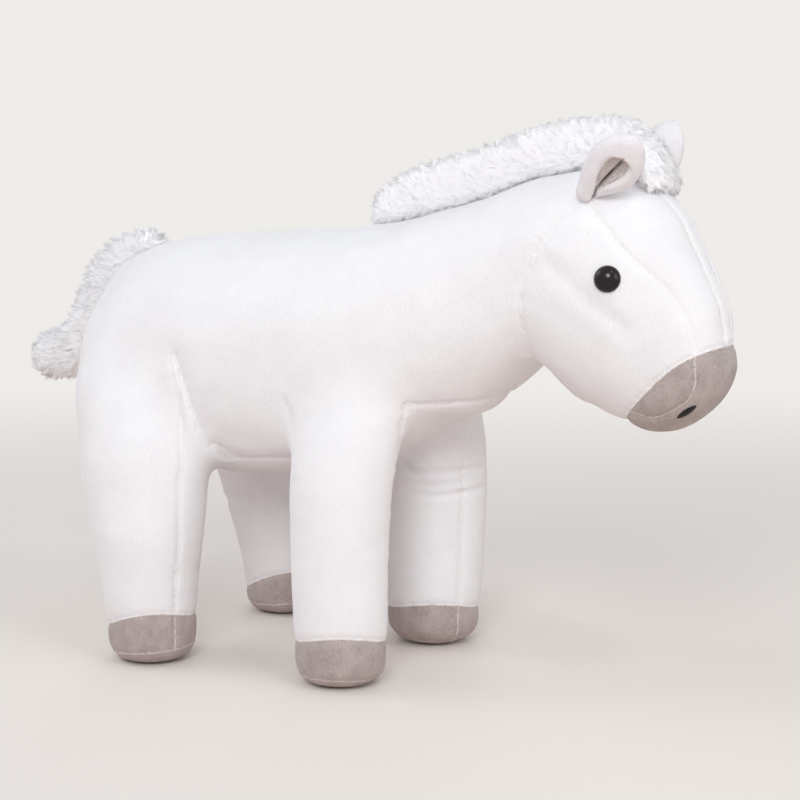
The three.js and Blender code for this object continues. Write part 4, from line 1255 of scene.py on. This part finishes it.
def thread(bm, points, radius, sides=6):
    """A thread along some points."""
    rings = []
    for index, point in enumerate(points):
        way = (points[min(index + 1, len(points) - 1)] - points[max(index - 1, 0)]).normalized()
        side = way.orthogonal().normalized()
        other = way.cross(side)
        rings.append([bm.verts.new(point + (side * math.cos(a) + other * math.sin(a)) * radius)
                      for a in np.linspace(0, 2 * math.pi, sides, endpoint=False)])
    for low, high in zip(rings, rings[1:]):
        best = min(range(sides), key=lambda k: (high[k].co - low[0].co).length)
        for k in range(sides):
            n = k + 1
            bm.faces.new([low[k], low[n % sides], high[(n + best) % sides], high[(k + best) % sides]])
    bm.faces.new(rings[0][::-1])
    bm.faces.new(rings[-1])


for hand, side in (("right", -1), ("left", 1)):
    middle, axes = main_axes(frame["nodes"][f"nostril_{hand}"].data)
    long_way, out = Vector(axes[0]), Vector(axes[2])
    if out.dot(Vector((1, 0.6 * side, -0.3))) < 0:
        out = -out
    wide_way = out.cross(long_way)
    middle = Vector(middle) - out * 0.4 * MM
    bm = bmesh.new()
    for index in range(NOSTRIL_THREADS):
        s = (index + 0.5) / NOSTRIL_THREADS * 2 - 1
        half = NOSTRIL_WIDE / 2 * (1 - abs(s) ** 2.2) + 0.3
        points = []
        for t in np.linspace(-1, 1, 9):
            high = NOSTRIL_HIGH * (1 - t * t) * (1 - 0.6 * s * s)
            points.append(middle + (long_way * (s * NOSTRIL_LONG / 2 + 0.25 * t) + wide_way * t * half
                                    + out * high) * MM)
        thread(bm, points, THREAD_RADIUS * MM)
    bmesh.ops.recalc_face_normals(bm, faces=bm.faces)
    stitches = new_piece(f"nostril_{hand}_stitches", bm)
    stitches.data.materials.append(thread_black)
    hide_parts(f"nostril_{hand}")
    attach(stitches, "toy")


# The washers: flat rings moulded in white plastic. Each is pressed on an eye's post inside the head, so
# the frame's own solids are shown and only get their material here.
washer_white = cloth_material("moulded_white", (0.78, 0.78, 0.77, 1), (0.74, 0.74, 0.73, 1), patch=0.01,
                              tuft=0.0006, ripple=0.004, depth=0.00005, roughness=0.5, sheen=0.0)
for hand in ("right", "left"):
    washer = frame["nodes"][f"eye_washer_{hand}"]
    washer.data.materials.clear()
    washer.data.materials.append(washer_white)


# The room: a pale table and wall, soft daylight from the camera's left and above, and the camera at
# the photograph's place.
floor_mesh = bpy.data.meshes.new("table")
floor_mesh.from_pydata([(-3, -3, 0), (3, -3, 0), (3, 3, 0), (-3, 3, 0)], [], [(0, 1, 2, 3)])
floor = new_object("table", floor_mesh)
# The wall's colour, the table's as the camera sees it, and the light brown that it throws back on the toy
WALL = (0.86, 0.84, 0.82, 1)
TABLE = (0.86, 0.81, 0.76, 1)
TABLE_BOUNCE = (0.71, 0.585, 0.52, 1)
pale, tree, shader = new_material("pale_table")


def background_ray(tree):
    """1 for the rays that show the background: the camera's, and those from glossy and clear things."""
    ray = add_node(tree, "LightPath")
    shiny = maths(tree, "MAXIMUM", ray.outputs["Is Glossy Ray"], ray.outputs["Is Transmission Ray"])
    return maths(tree, "MAXIMUM", ray.outputs["Is Camera Ray"], shiny)


seen = background_ray(tree)
link(tree, colour_mix(tree, seen, TABLE_BOUNCE, TABLE), shader.inputs["Base Color"])
shader.inputs["Roughness"].default_value = 0.7
place = add_node(tree, "TexCoord")
away = add_node(tree, "VectorMath", {"operation": "LENGTH"}, in0=place.outputs["Object"])
far = add_node(tree, "MapRange", {"interpolation_type": "SMOOTHSTEP"}, Value=away.outputs["Value"],
               From_Min=0.5, From_Max=1.9)
faded = maths(tree, "MULTIPLY", far.outputs["Result"], seen)
haze = add_node(tree, "Emission", Color=WALL)
blend = add_node(tree, "MixShader", in0=faded, in1=shader.outputs[0], in2=haze.outputs[0])
link(tree, blend.outputs[0], tree.nodes["Material Output"].inputs["Surface"])
floor.data.materials.append(pale)

SKY_LIGHT = 0.5
world = bpy.data.worlds.new("daylight")
bpy.context.scene.world = world
world.use_nodes = True
tree = world.node_tree
sky = colour_mix(tree, background_ray(tree), (SKY_LIGHT, SKY_LIGHT, SKY_LIGHT * 1.03, 1), WALL)
link(tree, sky, tree.nodes["Background"].inputs["Color"])
tree.nodes["Background"].inputs["Strength"].default_value = 1.0


def look_at(thing, place, way):
    """Puts a lamp or a camera at a place, facing a direction."""
    thing.location = place
    thing.rotation_euler = way.to_track_quat("-Z", "Y").to_euler()


def lamp(name, place, aim, size, power, colour=(1, 1, 1)):
    """A round lamp that faces a place."""
    light = bpy.data.lights.new(name, "AREA")
    light.shape = "DISK"
    light.size = size
    light.energy = power
    light.color = colour
    look_at(new_object(name, light), place, Vector(aim) - Vector(place))


BODY = (0, 0, 0.18)
EYES = (0.2, -0.03, 0.25)
lamp("key", (0.75, -1.75, 1.25), BODY, 0.9, 17.0, (0.95, 0.982, 1))
lamp("side", (1.9, -0.3, 0.9), BODY, 1.2, 6)
lamp("back", (-1.3, -0.6, 1.3), BODY, 1.0, 5, (0.92, 0.95, 1))
lamp("fill", (-0.9, 1.9, 1.1), BODY, 1.2, 5)
lamp("window", (0.885, -0.53, 1.48), EYES, 0.16, 1.5)
lamp("glint", (1.53, 0.66, 0.36), EYES, 0.08, 0.2)

# The camera that was fitted to the photograph, and how far it looks down
CAMERA_PLACE = (0.553, -0.8833, 0.2816)
CAMERA_TILT = math.radians(6.24)
camera_data = bpy.data.cameras.new("camera")
camera_data.lens = 72
camera_data.sensor_width = 36
camera = new_object("camera", camera_data)
level = math.cos(CAMERA_TILT)
look_at(camera, CAMERA_PLACE, Vector((-0.5 * level, 0.8660254 * level, -math.sin(CAMERA_TILT))))
bpy.context.scene.camera = camera
bpy.context.scene.view_settings.view_transform = "Standard"
